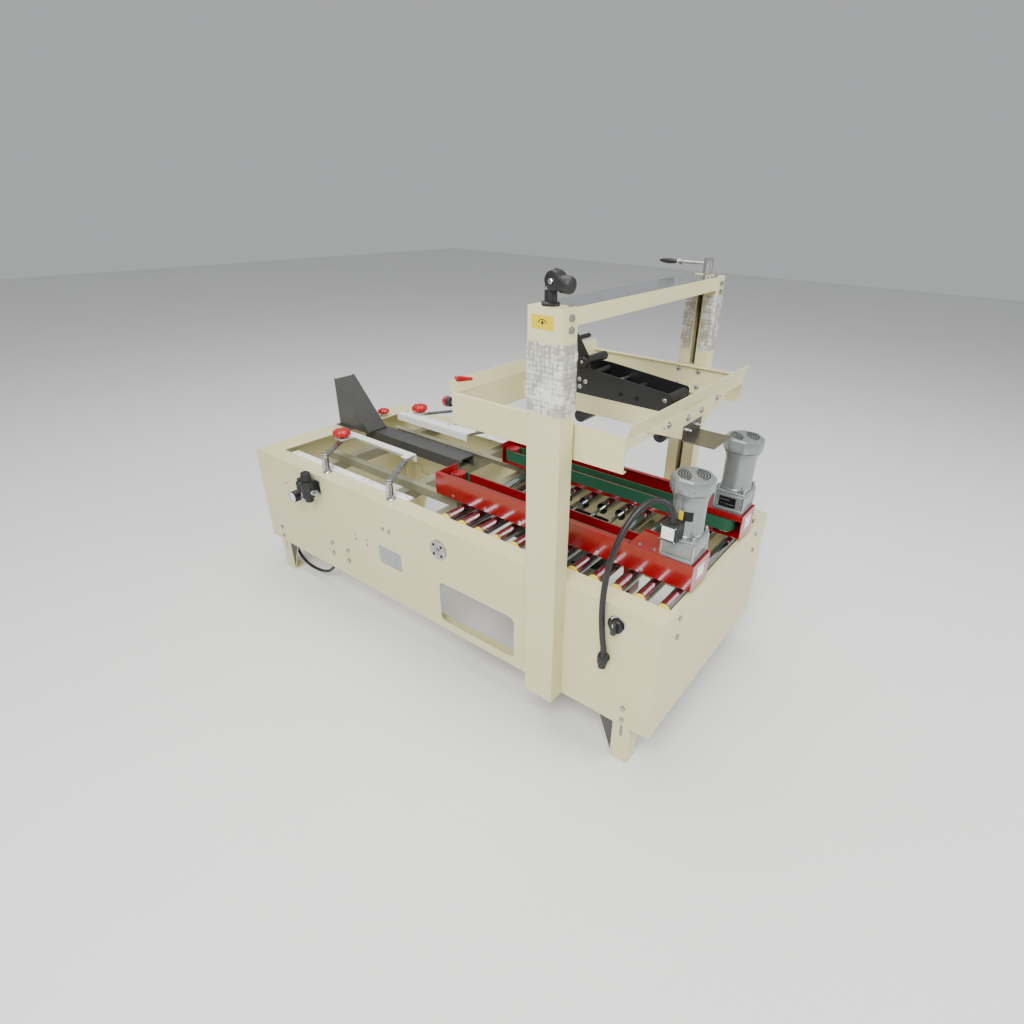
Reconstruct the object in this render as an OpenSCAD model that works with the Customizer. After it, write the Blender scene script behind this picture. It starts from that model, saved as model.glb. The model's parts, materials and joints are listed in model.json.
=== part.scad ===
// Carton sealer with side belt drives, a crank-adjusted upper tape head and a roller bed.
// Millimetres, +Z up. The origin is on the floor under the middle of the machine.
// +X is the way that a carton travels, and -Y is the operator's side.

/* [Bed] */
// Length of the bed along the carton's travel
bed_l = 1770; // [1600:10:2200]
// Width over the two side panels
bed_w = 746; // [700:2:900]
// Height of the bed's top surface
bed_z1 = 520; // [480:5:700]
// Height of the bed's lower edge above the floor
bed_z0 = 136; // [100:2:200]
// Sheet thickness of the painted panels
sheet = 3; // [2:0.5:4]
// Width of the side panels' top flange
flange_w = 66; // [50:1:90]
// Length of the window in the operator's side panel
window_l = 311; // [200:1:360]
// Height of the window
window_h = 151; // [80:1:180]
// Width of one leg
leg_w = 55; // [40:1:80]

/* [Rollers] */
// Number of rollers in the bed
roller_n = 12; // [8:1:12]
// Distance between two rollers
roller_pitch = 69.5; // [60:0.5:75]
// Diameter of a roller tube
roller_d = 38; // [30:1:42]
// Diameter of a roller's spindle
spindle_d = 12; // [8:1:14]
// Half width of the gap that split rollers leave for the lower tape unit
split_half = 75; // [62:1:110]

/* [Columns] */
// Width of a column along the travel
post_w = 95; // [80:1:110]
// Depth of a column across the travel
post_d = 52; // [48:1:70]
// Height of the column's top
post_z1 = 1220; // [1150:5:1500]
// Height of the beam's section
beam_h = 38; // [30:1:60]
// Diameter of the lifting screws
screw_d = 18; // [12:1:22]

/* [Head] */
// Length of the head frame along the travel
head_l = 532; // [420:2:560]
// Height of the head frame's lower edge
head_z0 = 869; // [860:1:900]
// Height of the head frame's side channels
head_h = 84; // [70:1:100]
// Gap between the column and the head frame
head_gap = 12.5; // [8:0.5:16]

/* [Drives] */
// Distance from the middle of the lane to the inner edge of a drive
drive_in = 118; // [100:1:150]
// Width of a drive's tray
drive_w = 104; // [100:1:130]
// Height of a drive's lower edge
drive_z0 = 533; // [530:1:560]
// Height of a drive's tray wall
drive_h = 75; // [70:1:90]
// Height of a drive belt
belt_h = 40; // [30:1:44]
// Thickness of a drive belt
belt_t = 3; // [2:0.5:4]
// Outer radius of the belt where it turns round a pulley
belt_r = 27; // [22:1:30]
// Side of the square gearbox
gear_s = 92; // [80:1:94]
// Diameter of the motor's body
motor_d = 88; // [70:1:92]
// Diameter of the motor's fan cap
cap_d = 112; // [90:1:114]
// Diameter of the slide rods under the rollers
rod_d = 25; // [16:1:30]

/* [Guides] */
// Reach of a guide link along the travel, towards the infeed
link_x = 105; // [80:1:120]
// Reach of a guide link across the travel
link_y = 170; // [140:1:190]
// Length of a guide rail
rail_l = 400; // [380:1:440]
// Diameter of a star knob
knob_d = 64; // [50:1:70]

/* [Hidden] */
hx = bed_l / 2;
hy = bed_w / 2;
fy = hy - flange_w;
fit = 0.1;
gap = 0.4;
// first roller, counted back from the outfeed end
roller_end = 35.5;
roller_x0 = hx - roller_end - (roller_n - 1) * roller_pitch;
roller_z = bed_z1 - 13;
roller_top = roller_z + roller_d / 2;
function roller_x(k) = roller_x0 + k * roller_pitch;
// a roller is split where the lower tape unit comes up
function is_split(k) = roller_x(k) > lt_x0 - 10 && roller_x(k) < lt_x0 + lt_l - 15;
rail_t = 3;
seat_w = 8;
rail_y = fy + rail_t;
// columns
post_x0 = 505;
post_x1 = post_x0 + post_w;
post_x = post_x0 + post_w / 2;
post_y0 = hy;
post_y1 = hy + post_d;
post_y = hy + post_d / 2 - 0;
post_t = 3;
slot_w = 18;
slot_z0 = bed_z1 + 40;
slot_z1 = post_z1 - 50;
beam_z0 = post_z1 - beam_h;
// head
head_x0 = 200;
head_x1 = head_x0 + head_l;
head_y = hy - head_gap;
head_z1 = head_z0 + head_h;
unit_y = 55;
unit_z = head_z1 - 28;
arm_z = unit_z - 20;
// drives
dy_in = drive_in;
dy_out = drive_in + drive_w;
dz0 = drive_z0;
dz1 = drive_z0 + drive_h;
dx0 = -37;
dx1 = hx - 4;
mount_x0 = dx1 - 192;
mount_z1 = dz1 - 4;
mount_z0 = mount_z1 - 3;
belt_y = dy_in + belt_r;
belt_z0 = dz0 + 13;
pulley_x = dx1 - 54;
idler_x = dx0 + 32;
motor_y = dy_in + drive_w / 2 + 2;
gear_z1 = mount_z1 + 68;
motor_z1 = mount_z1 + 228;
rod_z = 441;
rod_xs = [50, roller_x(8) + roller_pitch / 2];
nut_x = roller_x(0) + roller_pitch / 2;
wscrew_d = 20;
wjournal_d = 16;
// guides
gp_y = hy - 40;
gp_xa = -480;
gp_xb = -137;
link_z0 = bed_z1 + 60;
link_t = 7.6;
guide_z = link_z0 + link_t + 1.4;
post_pin_d = 10;
rail_pin_d = 8;
knob_z0 = guide_z + 3.4;
// bed plate and carton stop at the infeed, set off to the far side
plate_y = 84;
plate_w = 80;
stop_y = 57;
stop_w = 94;
stop_x0 = 16;
stop_l = 189;
stop_h = 203;
// lower tape unit
lt_z0 = 355;
lt_z1 = bed_z1 - 28;
lt_y = 50;
lt_px = roller_x(2) + roller_pitch / 2;
lt_x0 = lt_px - 108.75;
lt_l = 380;
lt_pivot_x = lt_px + 81;
lt_pivot_z = 480;
// cords: hand-chosen points
conduit_d = 16;
conduit_pts = [[815, -240, 722], [815, -240, 738], [812, -243, 756], [803, -251, 773], [788, -266, 784], [771, -290, 782],
  [756, -320, 762], [745, -348, 728], [737, -370, 686], [731, -384, 640], [727, -390, 590], [725, -392, 535],
  [726, -392, 480], [731, -391, 425], [736, -389, 385], [736, -389, 370]];
hose_d = 12;
hose_pts = [[-505, -370, 300], [-505, -357, 300], [-506, -343, 288], [-508, -334, 262], [-511, -330, 225], [-516, -330, 180],
  [-526, -330, 130], [-548, -330, 86], [-584, -330, 52], [-630, -330, 32], [-680, -330, 24], [-728, -330, 26],
  [-768, -330, 42], [-795, -330, 72], [-808, -330, 112], [-812, -332, 160], [-815, -340, 208], [-815, -350, 232],
  [-815, -358, 240], [-815, -370, 240]];

// ---------- helpers ----------
module bx(x0, x1, y0, y1, z0, z1) {
  translate([x0, y0, z0]) cube([x1 - x0, y1 - y0, z1 - z0]);
}
module cyl_z(x, y, z0, z1, d) {
  translate([x, y, z0]) cylinder(h = z1 - z0, d = d, $fn = 64);
}
module cyl_y(x, z, y0, y1, d) {
  translate([x, y0, z]) rotate([-90, 0, 0]) cylinder(h = y1 - y0, d = d, $fn = 64);
}
module cyl_x(y, z, x0, x1, d) {
  translate([x0, y, z]) rotate([0, 90, 0]) cylinder(h = x1 - x0, d = d, $fn = 64);
}
// a flat plate in the XZ plane, between y0 and y1
module plate_xz(pts, y0, y1) {
  translate([0, y1, 0]) rotate([90, 0, 0]) linear_extrude(height = y1 - y0) polygon(pts);
}
// a flat plate in the YZ plane, between x0 and x1
module plate_yz(pts, x0, x1) {
  translate([x0, 0, 0]) rotate([90, 0, 90]) linear_extrude(height = x1 - x0) polygon(pts);
}
module both_sides() {
  children();
  mirror([0, 1, 0]) children();
}
module bar_xy(xa, ya, xb, yb, z0, z1, w) {
  len = sqrt((xb - xa) * (xb - xa) + (yb - ya) * (yb - ya));
  translate([xa, ya, z0]) rotate([0, 0, atan2(yb - ya, xb - xa)]) translate([0, -w / 2, 0]) cube([len, w, z1 - z0]);
}
module bar_xz(xa, za, xb, zb, y0, y1, w) {
  len = sqrt((xb - xa) * (xb - xa) + (zb - za) * (zb - za));
  translate([xa, y0, za]) rotate([0, -atan2(zb - za, xb - xa), 0]) translate([0, 0, -w / 2]) cube([len, y1 - y0, w]);
}
module bolt_y(x, z, y, d, h) {
  translate([x, y, z]) rotate([90, 0, 0]) cylinder(h = h, d = d, $fn = 6);
}
module bolt_x(y, z, x, d, h) {
  translate([x, y, z]) rotate([0, 90, 0]) cylinder(h = h, d = d, $fn = 6);
}
module bolt_z(x, y, z, d, h) {
  translate([x, y, z]) cylinder(h = h, d = d, $fn = 6);
}
// sweep of a round cord along hand-chosen points
function unit(v) = v / norm(v);
function tangent(p, i) = unit(p[min(i + 1, len(p) - 1)] - p[max(i - 1, 0)]);
function ring(p, i, r, n) = let(t = tangent(p, i), s = unit(cross(t, [0.31, 0.93, 0.2])), u = cross(t, s))
  [for (k = [0 : n - 1]) p[i] + r * (cos(360 * k / n) * s + sin(360 * k / n) * u)];
module cord(p, d, n) {
  m = len(p);
  verts = [for (i = [0 : m - 1]) each ring(p, i, d / 2, n)];
  sides = [for (i = [0 : m - 2], k = [0 : n - 1]) let(a = i * n + k, b = i * n + (k + 1) % n) each [[a, b, b + n], [a, b + n, a + n]]];
  caps = [[for (k = [0 : n - 1]) n - 1 - k], [for (k = [0 : n - 1]) (m - 1) * n + k]];
  polyhedron(points = verts, faces = concat(sides, caps));
}

// ---------- bed ----------
module panel_shell() {
  bx(-hx + sheet, hx - sheet, -hy, -hy + sheet, bed_z0, bed_z1);
  bx(-hx + sheet, hx - sheet, -hy, -fy, bed_z1 - sheet, bed_z1);
  bx(-hx + sheet + leg_w + 105, hx - sheet - leg_w - 105, -hy, -hy + 30, bed_z0, bed_z0 + sheet);
  bx(-450, hx - sheet - leg_w - 140, -hy, -hy + 52, bed_z0, bed_z0 + sheet);
}
module side_panels() {
  color("#d9d4b8") {
    difference() {
      panel_shell();
      translate([110, -hy - 1, 167]) rotate([-90, 0, 0]) translate([0, -window_h, 0]) linear_extrude(height = sheet + 2)
        union() {
          translate([20, 0]) square([window_l - 40, window_h]);
          translate([0, 20]) square([window_l, window_h - 40]);
          translate([20, 20]) circle(r = 20, $fn = 48);
          translate([window_l - 20, 20]) circle(r = 20, $fn = 48);
          translate([20, window_h - 20]) circle(r = 20, $fn = 48);
          translate([window_l - 20, window_h - 20]) circle(r = 20, $fn = 48);
        }
      cyl_y(nut_x, rod_z, -hy - 1, -hy + sheet + 1, wscrew_d + 4);
    }
    mirror([0, 1, 0]) panel_shell();
  }
}
module end_plates() {
  color("#d9d4b8") {
    union() {
      bx(-hx, -hx + sheet, -hy, hy, bed_z0, bed_z1);
      bx(-hx + sheet, -hx + 94, -fy, fy, bed_z1 - sheet, bed_z1);
    }
    union() {
      bx(hx - sheet, hx, -hy, hy, bed_z0, bed_z1);
      bx(hx - 15, hx - sheet, -fy, fy, bed_z1 - sheet, bed_z1);
    }
  }
}
// one leg at the operator's outfeed corner
module leg() {
  lx1 = hx - sheet - 52;
  lx0 = lx1 - leg_w;
  ly0 = -hy + sheet;
  difference() {
    union() {
      bx(lx0, lx1, ly0, ly0 + 4, 0, bed_z0 + 96);
      bx(lx1 - 4, lx1, ly0, ly0 + 50, 0, bed_z0 + 96);
      bx(lx0, lx1, ly0, ly0 + 50, 0, 5);
      plate_xz([[lx0, 10], [lx0 + 8, 10], [lx0 + 8, bed_z0 + 60], [lx0 - 48, bed_z0 + 60], [lx0 - 48, bed_z0 - 4]],
        ly0 + 3, ly0 + 7);
    }
    bx(lx0 + leg_w / 2 - 4.5, lx0 + leg_w / 2 + 4.5, ly0 - 1, ly0 + 5, 92, 133);
  }
}
module legs() {
  color("#d9d4b8") {
    leg();
    mirror([1, 0, 0]) leg();
    mirror([0, 1, 0]) leg();
    mirror([1, 0, 0]) mirror([0, 1, 0]) leg();
  }
}
module roller_rail() {
  difference() {
    union() {
      bx(60, hx - 7, -rail_y, -fy, roller_z - 37, bed_z1 - sheet);
      bx(60, hx - 7, -rail_y - 25, -fy, bed_z1 - 2 * sheet, bed_z1 - sheet);
    }
    for (k = [0 : roller_n - 1]) cyl_y(roller_x(k), roller_z, -rail_y - 1, -fy + 1, spindle_d + 0.8);
  }
}
module inner_beam() {
  bx(-700, 20, -186, -183, 477, 507);
  bx(-700, 20, -183, -161, 504, 507);
}
module bed_crossmembers() {
  color("#cfcaae") {
    both_sides() roller_rail();
    both_sides() inner_beam();
    for (x = [-640, -230, 0]) bx(x - 20, x + 20, -hy + sheet, hy - sheet, 437, 477);
    for (x = [lt_x0 + 40, lt_x0 + lt_l - 50]) bx(x - 15, x + 15, -hy + sheet, hy - sheet, 325, lt_z0);
    difference() {
      bx(nut_x - 20, nut_x + 20, hy - sheet - 15, hy - sheet, rod_z - 20, rod_z + 20);
      cyl_y(nut_x, rod_z, hy - sheet - 16, hy - sheet + 1, wjournal_d + fit);
    }
  }
}
module roller_caps() {
  color("#e8d23c") both_sides() for (k = [0 : roller_n - 1]) difference() {
    cyl_y(roller_x(k), roller_z, -fy, -fy + seat_w, roller_d);
    cyl_y(roller_x(k), roller_z, -fy - 1, -fy + seat_w + 1, spindle_d + fit);
  }
}
module roller(k) {
  ry = fy - seat_w - 2;
  color("#c9ccce") union() {
    cyl_y(roller_x(k), roller_z, -fy - 6, fy + 6, spindle_d);
    if (is_split(k)) {
      cyl_y(roller_x(k), roller_z, -ry, -split_half, roller_d);
      cyl_y(roller_x(k), roller_z, split_half, ry, roller_d);
    } else {
      cyl_y(roller_x(k), roller_z, -ry, ry, roller_d);
    }
  }
}
module roller_01() { roller(0); }
module roller_02() { roller(1); }
module roller_03() { roller(2); }
module roller_04() { roller(3); }
module roller_05() { roller(4); }
module roller_06() { roller(5); }
module roller_07() { roller(6); }
module roller_08() { roller(7); }
module roller_09() { roller(8); }
module roller_10() { roller(9); }
module roller_11() { roller(10); }
module roller_12() { roller(11); }

module infeed_plates() {
  p = plate_w / 2;
  w = stop_w / 2;
  x0 = -hx + stop_x0;
  x1 = x0 + stop_l;
  z0 = bed_z1 + 3;
  color("#5c5d5f") {
    union() {
      bx(-745, -190, plate_y - p, plate_y + p, bed_z1 - 3, bed_z1);
      bx(-745, -190, plate_y - p, plate_y - p + 3, 477, bed_z1 - 3);
      bx(-745, -190, plate_y + p - 3, plate_y + p, 477, bed_z1 - 3);
    }
    union() {
      difference() {
        plate_xz([[x0, z0 - 1], [x1, z0 - 1], [x1, z0 + 6], [x0 + 14, bed_z1 + stop_h], [x0, bed_z1 + stop_h]], stop_y - w, stop_y + w);
        plate_xz([[x0 - 5, z0], [x1 - 6, z0], [x0 + 9, bed_z1 + stop_h + 1], [x0 - 5, bed_z1 + stop_h + 1]], stop_y - w + 3, stop_y + w - 3);
      }
      bx(-hx + 5, x0 + 90, stop_y - w - 14, stop_y + w + 14, bed_z1, z0);
      bx(x0 + 80, x1, stop_y - w, stop_y + w, bed_z1, z0);
    }
  }
}

// ---------- columns ----------
module post() {
  difference() {
    bx(post_x0, post_x1, -post_y1, -post_y0, bed_z0, post_z1);
    bx(post_x0 + post_t, post_x1 - post_t, -post_y1 + post_t, -post_y0 - post_t, bed_z0 + 4, post_z1 - 6);
    bx(post_x - slot_w / 2, post_x + slot_w / 2, -post_y0 - post_t - 1, -post_y0 + 1, slot_z0, slot_z1);
    cyl_z(post_x, -post_y, post_z1 - 7, post_z1 + 1, screw_d + fit);
  }
}
module posts() {
  color("#d9d4b8") both_sides() post();
}
module top_beam() {
  color("#d9d4b8") union() {
    bx(post_x0, post_x1, -post_y0, post_y0, beam_z0, beam_z0 + 3);
    bx(post_x0, post_x0 + 3, -post_y0, post_y0, beam_z0, post_z1);
    bx(post_x1 - 3, post_x1, -post_y0, post_y0, beam_z0, post_z1);
  }
}
module beam_cover() {
  color("#c8cacc") bx(post_x0 + 1, post_x1 - 1, -post_y0 + 1, post_y0 - 1, post_z1, post_z1 + 1.5);
}
module wrap(z0, z1) {
  w = 5;
  bx(post_x0 - w, post_x1 + w, -post_y1 - w, -post_y1, z0, z1);
  bx(post_x0 - w, post_x0, -post_y1, -post_y0, z0, z1);
  bx(post_x1, post_x1 + w, -post_y1, -post_y0, z0, z1);
  bx(post_x0 - w, post_x - 13, -post_y0, -post_y0 + w, z0, z1);
  bx(post_x + 13, post_x1 + w, -post_y0, -post_y0 + w, z0, z1);
}
module post_wraps() {
  color("#dfe3e4") {
    union() wrap(993, 1146);
    mirror([0, 1, 0]) union() wrap(998, 1164);
  }
}
module lead_screw_near() {
  color("#9a9da0") cyl_z(post_x, -post_y, bed_z0 + 5, post_z1 - 1, screw_d);
}
module lead_screw_far() {
  color("#9a9da0") cyl_z(post_x, post_y, bed_z0 + 5, post_z1 + 46, screw_d);
}
crank_z = post_z1 + 31;
module crank_handle() {
  color("#c9ccce") difference() {
    union() {
      cyl_z(post_x, post_y, post_z1 + 4, post_z1 + 48, 28);
      cyl_x(post_y, crank_z, post_x - 160, post_x, 8);
      cyl_x(post_y, crank_z, post_x - 97, post_x, 11);
      cyl_x(post_y, crank_z, post_x - 97, post_x - 88, 18);
    }
    cyl_z(post_x, post_y, post_z1 + 3, post_z1 + 46, screw_d);
  }
}
module crank_grip() {
  color("#1d1d1f") difference() {
    union() {
      cyl_x(post_y, crank_z, post_x - 164, post_x - 97.5, 20);
      cyl_x(post_y, crank_z, post_x - 150, post_x - 110, 24);
    }
    cyl_x(post_y, crank_z, post_x - 160.5, post_x - 97, 8 + fit);
  }
}

// ---------- head ----------
module head_side() {
  bx(head_x0, head_x1, -head_y, -head_y + 3, head_z0, head_z1);
  bx(head_x0, head_x1, -head_y, -head_y + 15, head_z1 - 3, head_z1);
  bx(head_x0, head_x1, -head_y, -head_y + 15, head_z0, head_z0 + 3);
  // carriage block on the lifting screw, with its neck through the column's slot
  difference() {
    union() {
      bx(post_x - 29, post_x + 29, -post_y1 + post_t + 3, -post_y0 - post_t - 3, head_z0 + 2, head_z1 - 2);
      bx(post_x - 8, post_x + 8, -post_y0 - post_t - 3, -head_y, head_z0 + 7, head_z1 - 7);
    }
    cyl_z(post_x, -post_y, head_z0, head_z1, screw_d + 1);
  }
  // inner beam that carries the tape unit
  bx(head_x0 + 3, head_x1 - 3, -unit_y, -unit_y + 3, head_z0 + 3, unit_z);
}
module head_frame() {
  color("#d9d4b8") union() {
    both_sides() head_side();
    bx(head_x0, head_x0 + 3, -head_y + 3, head_y - 3, head_z0, head_z1);
    plate_xz([[head_x0, head_z1 - 3], [head_x0 + 3, head_z1 - 3], [head_x0 - 7, head_z1 + 32], [head_x0 - 10, head_z1 + 32]], -head_y, head_y);
    bx(head_x1 - 3, head_x1, -head_y + 3, head_y - 3, unit_z, head_z1);
    plate_xz([[head_x1 - 3, head_z1 - 3], [head_x1, head_z1 - 3], [head_x1 + 10, head_z1 + 32], [head_x1 + 7, head_z1 + 32]], -head_y, head_y);
    plate_yz([[-272, head_z1 - 6], [-60, head_z1 - 6], [-60, head_z0 - 3]], head_x1, head_x1 + 3);
    plate_yz([[272, head_z1 - 6], [60, head_z1 - 6], [60, head_z0 - 3]], head_x1, head_x1 + 3);
    bx(head_x1 - 3, head_x1, -68, 68, head_z1 - 48, unit_z);
  }
}
module head_ski() {
  color("#77797b") union() {
    bx(head_x1, head_x1 + 3, -58, 58, head_z0 - 6, head_z1 - 12);
    bx(head_x1, head_x1 + 94, -58, 58, head_z0 - 9, head_z0 - 6);
  }
}
module unit_wall(y0, y1, tall) {
  plate_xz(tall == 1
    ? [[300, unit_z], [690, unit_z], [690, unit_z + 44], [684, unit_z + 50], [437, unit_z + 75], [430, unit_z + 109], [392, unit_z + 164], [368, unit_z + 164], [330, unit_z + 80], [300, unit_z + 34]]
    : [[300, unit_z], [690, unit_z], [690, unit_z + 44], [684, unit_z + 50], [437, unit_z + 75], [330, unit_z + 75], [300, unit_z + 34]], y0, y1);
}
module upper_tape_body() {
  color("#18191b") union() {
    unit_wall(-unit_y, -unit_y + 4, 1);
    unit_wall(unit_y - 4, unit_y, 0);
    difference() {
      bx(300, 690, -unit_y + 4, unit_y - 4, unit_z, unit_z + 4);
      bx(380, 420, -30, 30, unit_z - 1, unit_z + 5);
    }
    cyl_y(678, unit_z + 34, -unit_y + 2, unit_y - 2, 22);
    cyl_y(436, unit_z + 58, -unit_y + 2, unit_y - 2, 18);
    cyl_y(380, unit_z + 148, -unit_y + 2, 20, 14);
    cyl_y(418, unit_z + 92, -unit_y + 2, unit_y - 6, 26);
  }
  // pivot pins of the two arms, held by the head's inner beams
  color("#18191b") cyl_y(470, arm_z, -unit_y + 3, unit_y - 3, 10);
  color("#18191b") cyl_y(590, arm_z, -unit_y + 3, unit_y - 3, 10);
}
module unit_arm(px, qx, qz) {
  difference() {
    union() {
      cyl_y(px, arm_z, -46, 46, 22);
      bar_xz(px, arm_z, qx, qz, -45, -41, 17);
      bar_xz(px, arm_z, qx, qz, 41, 45, 17);
      cyl_y(qx, qz, -46, 46, 13);
      cyl_y(qx, qz, -38, 38, 38);
    }
    cyl_y(px, arm_z, -47, 47, 10 + fit);
  }
}
module upper_apply_arm() {
  color("#3a3c3e") unit_arm(470, 400, arm_z - 54);
}
module upper_wipe_arm() {
  color("#3a3c3e") unit_arm(590, 660, arm_z - 54);
}

// ---------- lower tape unit ----------
module lower_wall(y0, y1) {
  lt_x1 = lt_x0 + lt_l;
  plate_xz([[lt_x0, lt_z0], [lt_x0 + 130, lt_z0], [lt_x0 + 130, 250], [lt_x1 - 130, 250], [lt_x1 - 130, lt_z0],
    [lt_x1, lt_z0], [lt_x1, lt_z1 - 30], [lt_x1 - 60, lt_z1], [lt_x0 + 60, lt_z1], [lt_x0, lt_z1 - 30]], y0, y1);
}
module lower_tape_body() {
  color("#18191b") union() {
    lower_wall(-lt_y, -lt_y + 4);
    lower_wall(lt_y - 4, lt_y);
    bx(lt_x0, lt_x0 + lt_l, -lt_y + 4, lt_y - 4, lt_z0, lt_z0 + 3);
    cyl_y(lt_x0 + lt_l / 2, 275, -lt_y + 2, lt_y - 2, 24);
    cyl_y(lt_x0 + lt_l / 2, 275, -36, 36, 120);
    cyl_y(lt_pivot_x, lt_pivot_z, -lt_y + 2, lt_y - 2, 12);
    cyl_y(lt_x0 + lt_l - 30, lt_z1 - 45, -lt_y + 2, lt_y - 2, 20);
  }
}
module lower_apply_arm() {
  qz = lt_pivot_z + 40;
  color("#3a3c3e") difference() {
    union() {
      cyl_y(lt_pivot_x, lt_pivot_z, -41, 41, 24);
      for (y = [-41, 37]) {
        bx(lt_px - 8, lt_pivot_x, y, y + 4, lt_pivot_z - 9, lt_pivot_z + 9);
        bx(lt_px - 8, lt_px + 8, y, y + 4, lt_pivot_z - 9, qz + 8);
      }
      cyl_y(lt_px, qz, -41, 41, 10);
      cyl_y(lt_px, qz, -34, 34, 32);
    }
    cyl_y(lt_pivot_x, lt_pivot_z, -42, 42, 12 + fit);
  }
}

// ---------- side drives ----------
module drive_block(x, bore) {
  difference() {
    union() {
      bx(x - 6, x + 6, -190, -150, rod_z + 21, dz0);
      bx(x - 22, x + 22, -200, -140, rod_z - 22, rod_z + 21);
    }
    cyl_y(x, rod_z, -201, -139, bore);
  }
}
module drive_frame() {
  color("#c4161c") union() {
    bx(dx0, dx1, -dy_out, -dy_in, dz0, dz0 + 3);
    bx(dx0, dx1, -dy_out, -dy_out + 3, dz0, dz1);
    bx(dx0, mount_x0, -dy_out, -dy_out + 15, dz1 - 3, dz1);
    bx(dx0, dx0 + 3, -dy_out, -dy_in, dz0, dz1);
    bx(dx1 - 3, dx1, -dy_out, -dy_in, dz0, dz1);
    difference() {
      bx(mount_x0, dx1, -dy_out, -dy_in, mount_z0, mount_z1);
      cyl_z(pulley_x, -belt_y, mount_z0 - 1, mount_z1 + 1, 30);
    }
    bx(mount_x0, dx1, -dy_in - 3, -dy_in, belt_z0 + belt_h + 3, dz1);
    // backing wall behind the belt's carton side
    bx(idler_x + belt_r + 3, pulley_x - belt_r - 3, -dy_in - belt_t - 3, -dy_in - belt_t, dz0, belt_z0 + belt_h);
    // idler at the infeed end
    cyl_z(idler_x, -belt_y, dz0, belt_z0 + belt_h + 4, 2 * (belt_r - belt_t) - 0.6);
    drive_block(rod_xs[0], rod_d + fit);
    drive_block(rod_xs[1], rod_d + fit);
    drive_block(nut_x, wscrew_d + 1);
  }
}
module belt_loop(r, z0, z1) {
  cyl_z(idler_x, -belt_y, z0, z1, 2 * r);
  cyl_z(pulley_x, -belt_y, z0, z1, 2 * r);
  bx(idler_x, pulley_x, -belt_y - r, -belt_y + r, z0, z1);
}
module belt() {
  color("#1c5a3f") difference() {
    union() belt_loop(belt_r, belt_z0, belt_z0 + belt_h);
    union() belt_loop(belt_r - belt_t, belt_z0 - 1, belt_z0 + belt_h + 1);
  }
}
module pulley() {
  color("#8d9093") union() {
    cyl_z(pulley_x, -belt_y, belt_z0 - 4, belt_z0 + belt_h, 2 * (belt_r - belt_t) - 0.6);
    cyl_z(pulley_x, -belt_y, belt_z0 + belt_h, mount_z1 + 17, 15);
  }
}
module gear_motor() {
  s = gear_s / 2;
  color("#8f9496") {
    difference() {
      union() {
        bx(pulley_x - s, pulley_x + s, -motor_y - s, -motor_y + s, mount_z1, gear_z1);
        cyl_z(pulley_x, -motor_y, gear_z1, motor_z1 - 40, motor_d);
        cyl_z(pulley_x, -motor_y, motor_z1 - 40, motor_z1, cap_d);
      }
      cyl_z(pulley_x, -belt_y, mount_z1 - 1, mount_z1 + 18, 15 + fit);
    }
  }
}
module drive_frame_near() { drive_frame(); }
module drive_frame_far() { mirror([0, 1, 0]) drive_frame(); }
module belt_near() { belt(); }
module belt_far() { mirror([0, 1, 0]) belt(); }
module pulley_near() { pulley(); }
module pulley_far() { mirror([0, 1, 0]) pulley(); }
module gear_motor_near() { gear_motor(); }
module gear_motor_far() { mirror([0, 1, 0]) gear_motor(); }
module junction_box() {
  color("#1b1b1d") difference() {
    bx(pulley_x - 35, pulley_x + 11, -motor_y - 86, -motor_y - 30, gear_z1 + 4, gear_z1 + 50);
    cyl_z(pulley_x, -motor_y, gear_z1, gear_z1 + 60, motor_d + gap);
  }
}
module width_screw() {
  color("#9a9da0") union() {
    cyl_y(nut_x, rod_z, -hy + sheet + 2, hy - sheet - 17, wscrew_d);
    cyl_y(nut_x, rod_z, -hy - 4, -hy + sheet + 2, wjournal_d);
    cyl_y(nut_x, rod_z, hy - sheet - 17, hy - sheet - 2, wjournal_d);
  }
}
module slide_rods() {
  color("#b9bcbf") {
    for (x = rod_xs) cyl_y(x, rod_z, -hy + sheet, hy - sheet, rod_d);
    difference() {
      cyl_y(nut_x, rod_z, -hy - 5, -hy, 67);
      cyl_y(nut_x, rod_z, -hy - 6, -hy + 1, wjournal_d + fit);
    }
  }
}

// ---------- guides ----------
module guide_post(x) {
  union() {
    cyl_z(x, -gp_y, bed_z1, bed_z1 + 6, 32);
    cyl_z(x, -gp_y, bed_z1, link_z0 - gap, 20);
    cyl_z(x, -gp_y, bed_z1, link_z0 + link_t + 3, post_pin_d);
  }
}
module guide_mounts() {
  color("#c9ccce") both_sides() {
    guide_post(gp_xa);
    guide_post(gp_xb);
  }
  color("#f2f2ee") both_sides() for (x = [-732, -513, -294]) bx(x, x + 214, -fy - 7, -fy + 22, bed_z1, bed_z1 + 6);
}
module link(x, bore) {
  difference() {
    union() {
      cyl_z(x, -gp_y, link_z0, link_z0 + link_t, 24);
      cyl_z(x - link_x, -gp_y + link_y, link_z0, link_z0 + link_t, 20);
      bar_xy(x, -gp_y, x - link_x, -gp_y + link_y, link_z0, link_z0 + link_t, 18);
    }
    cyl_z(x, -gp_y, link_z0 - 1, link_z0 + link_t + 1, post_pin_d + fit);
    cyl_z(x - link_x, -gp_y + link_y, link_z0 - 1, link_z0 + link_t + 1, rail_pin_d + bore);
  }
}
knob_x = gp_xa - link_x + 22;
knob_y = -gp_y + link_y - 34;
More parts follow.
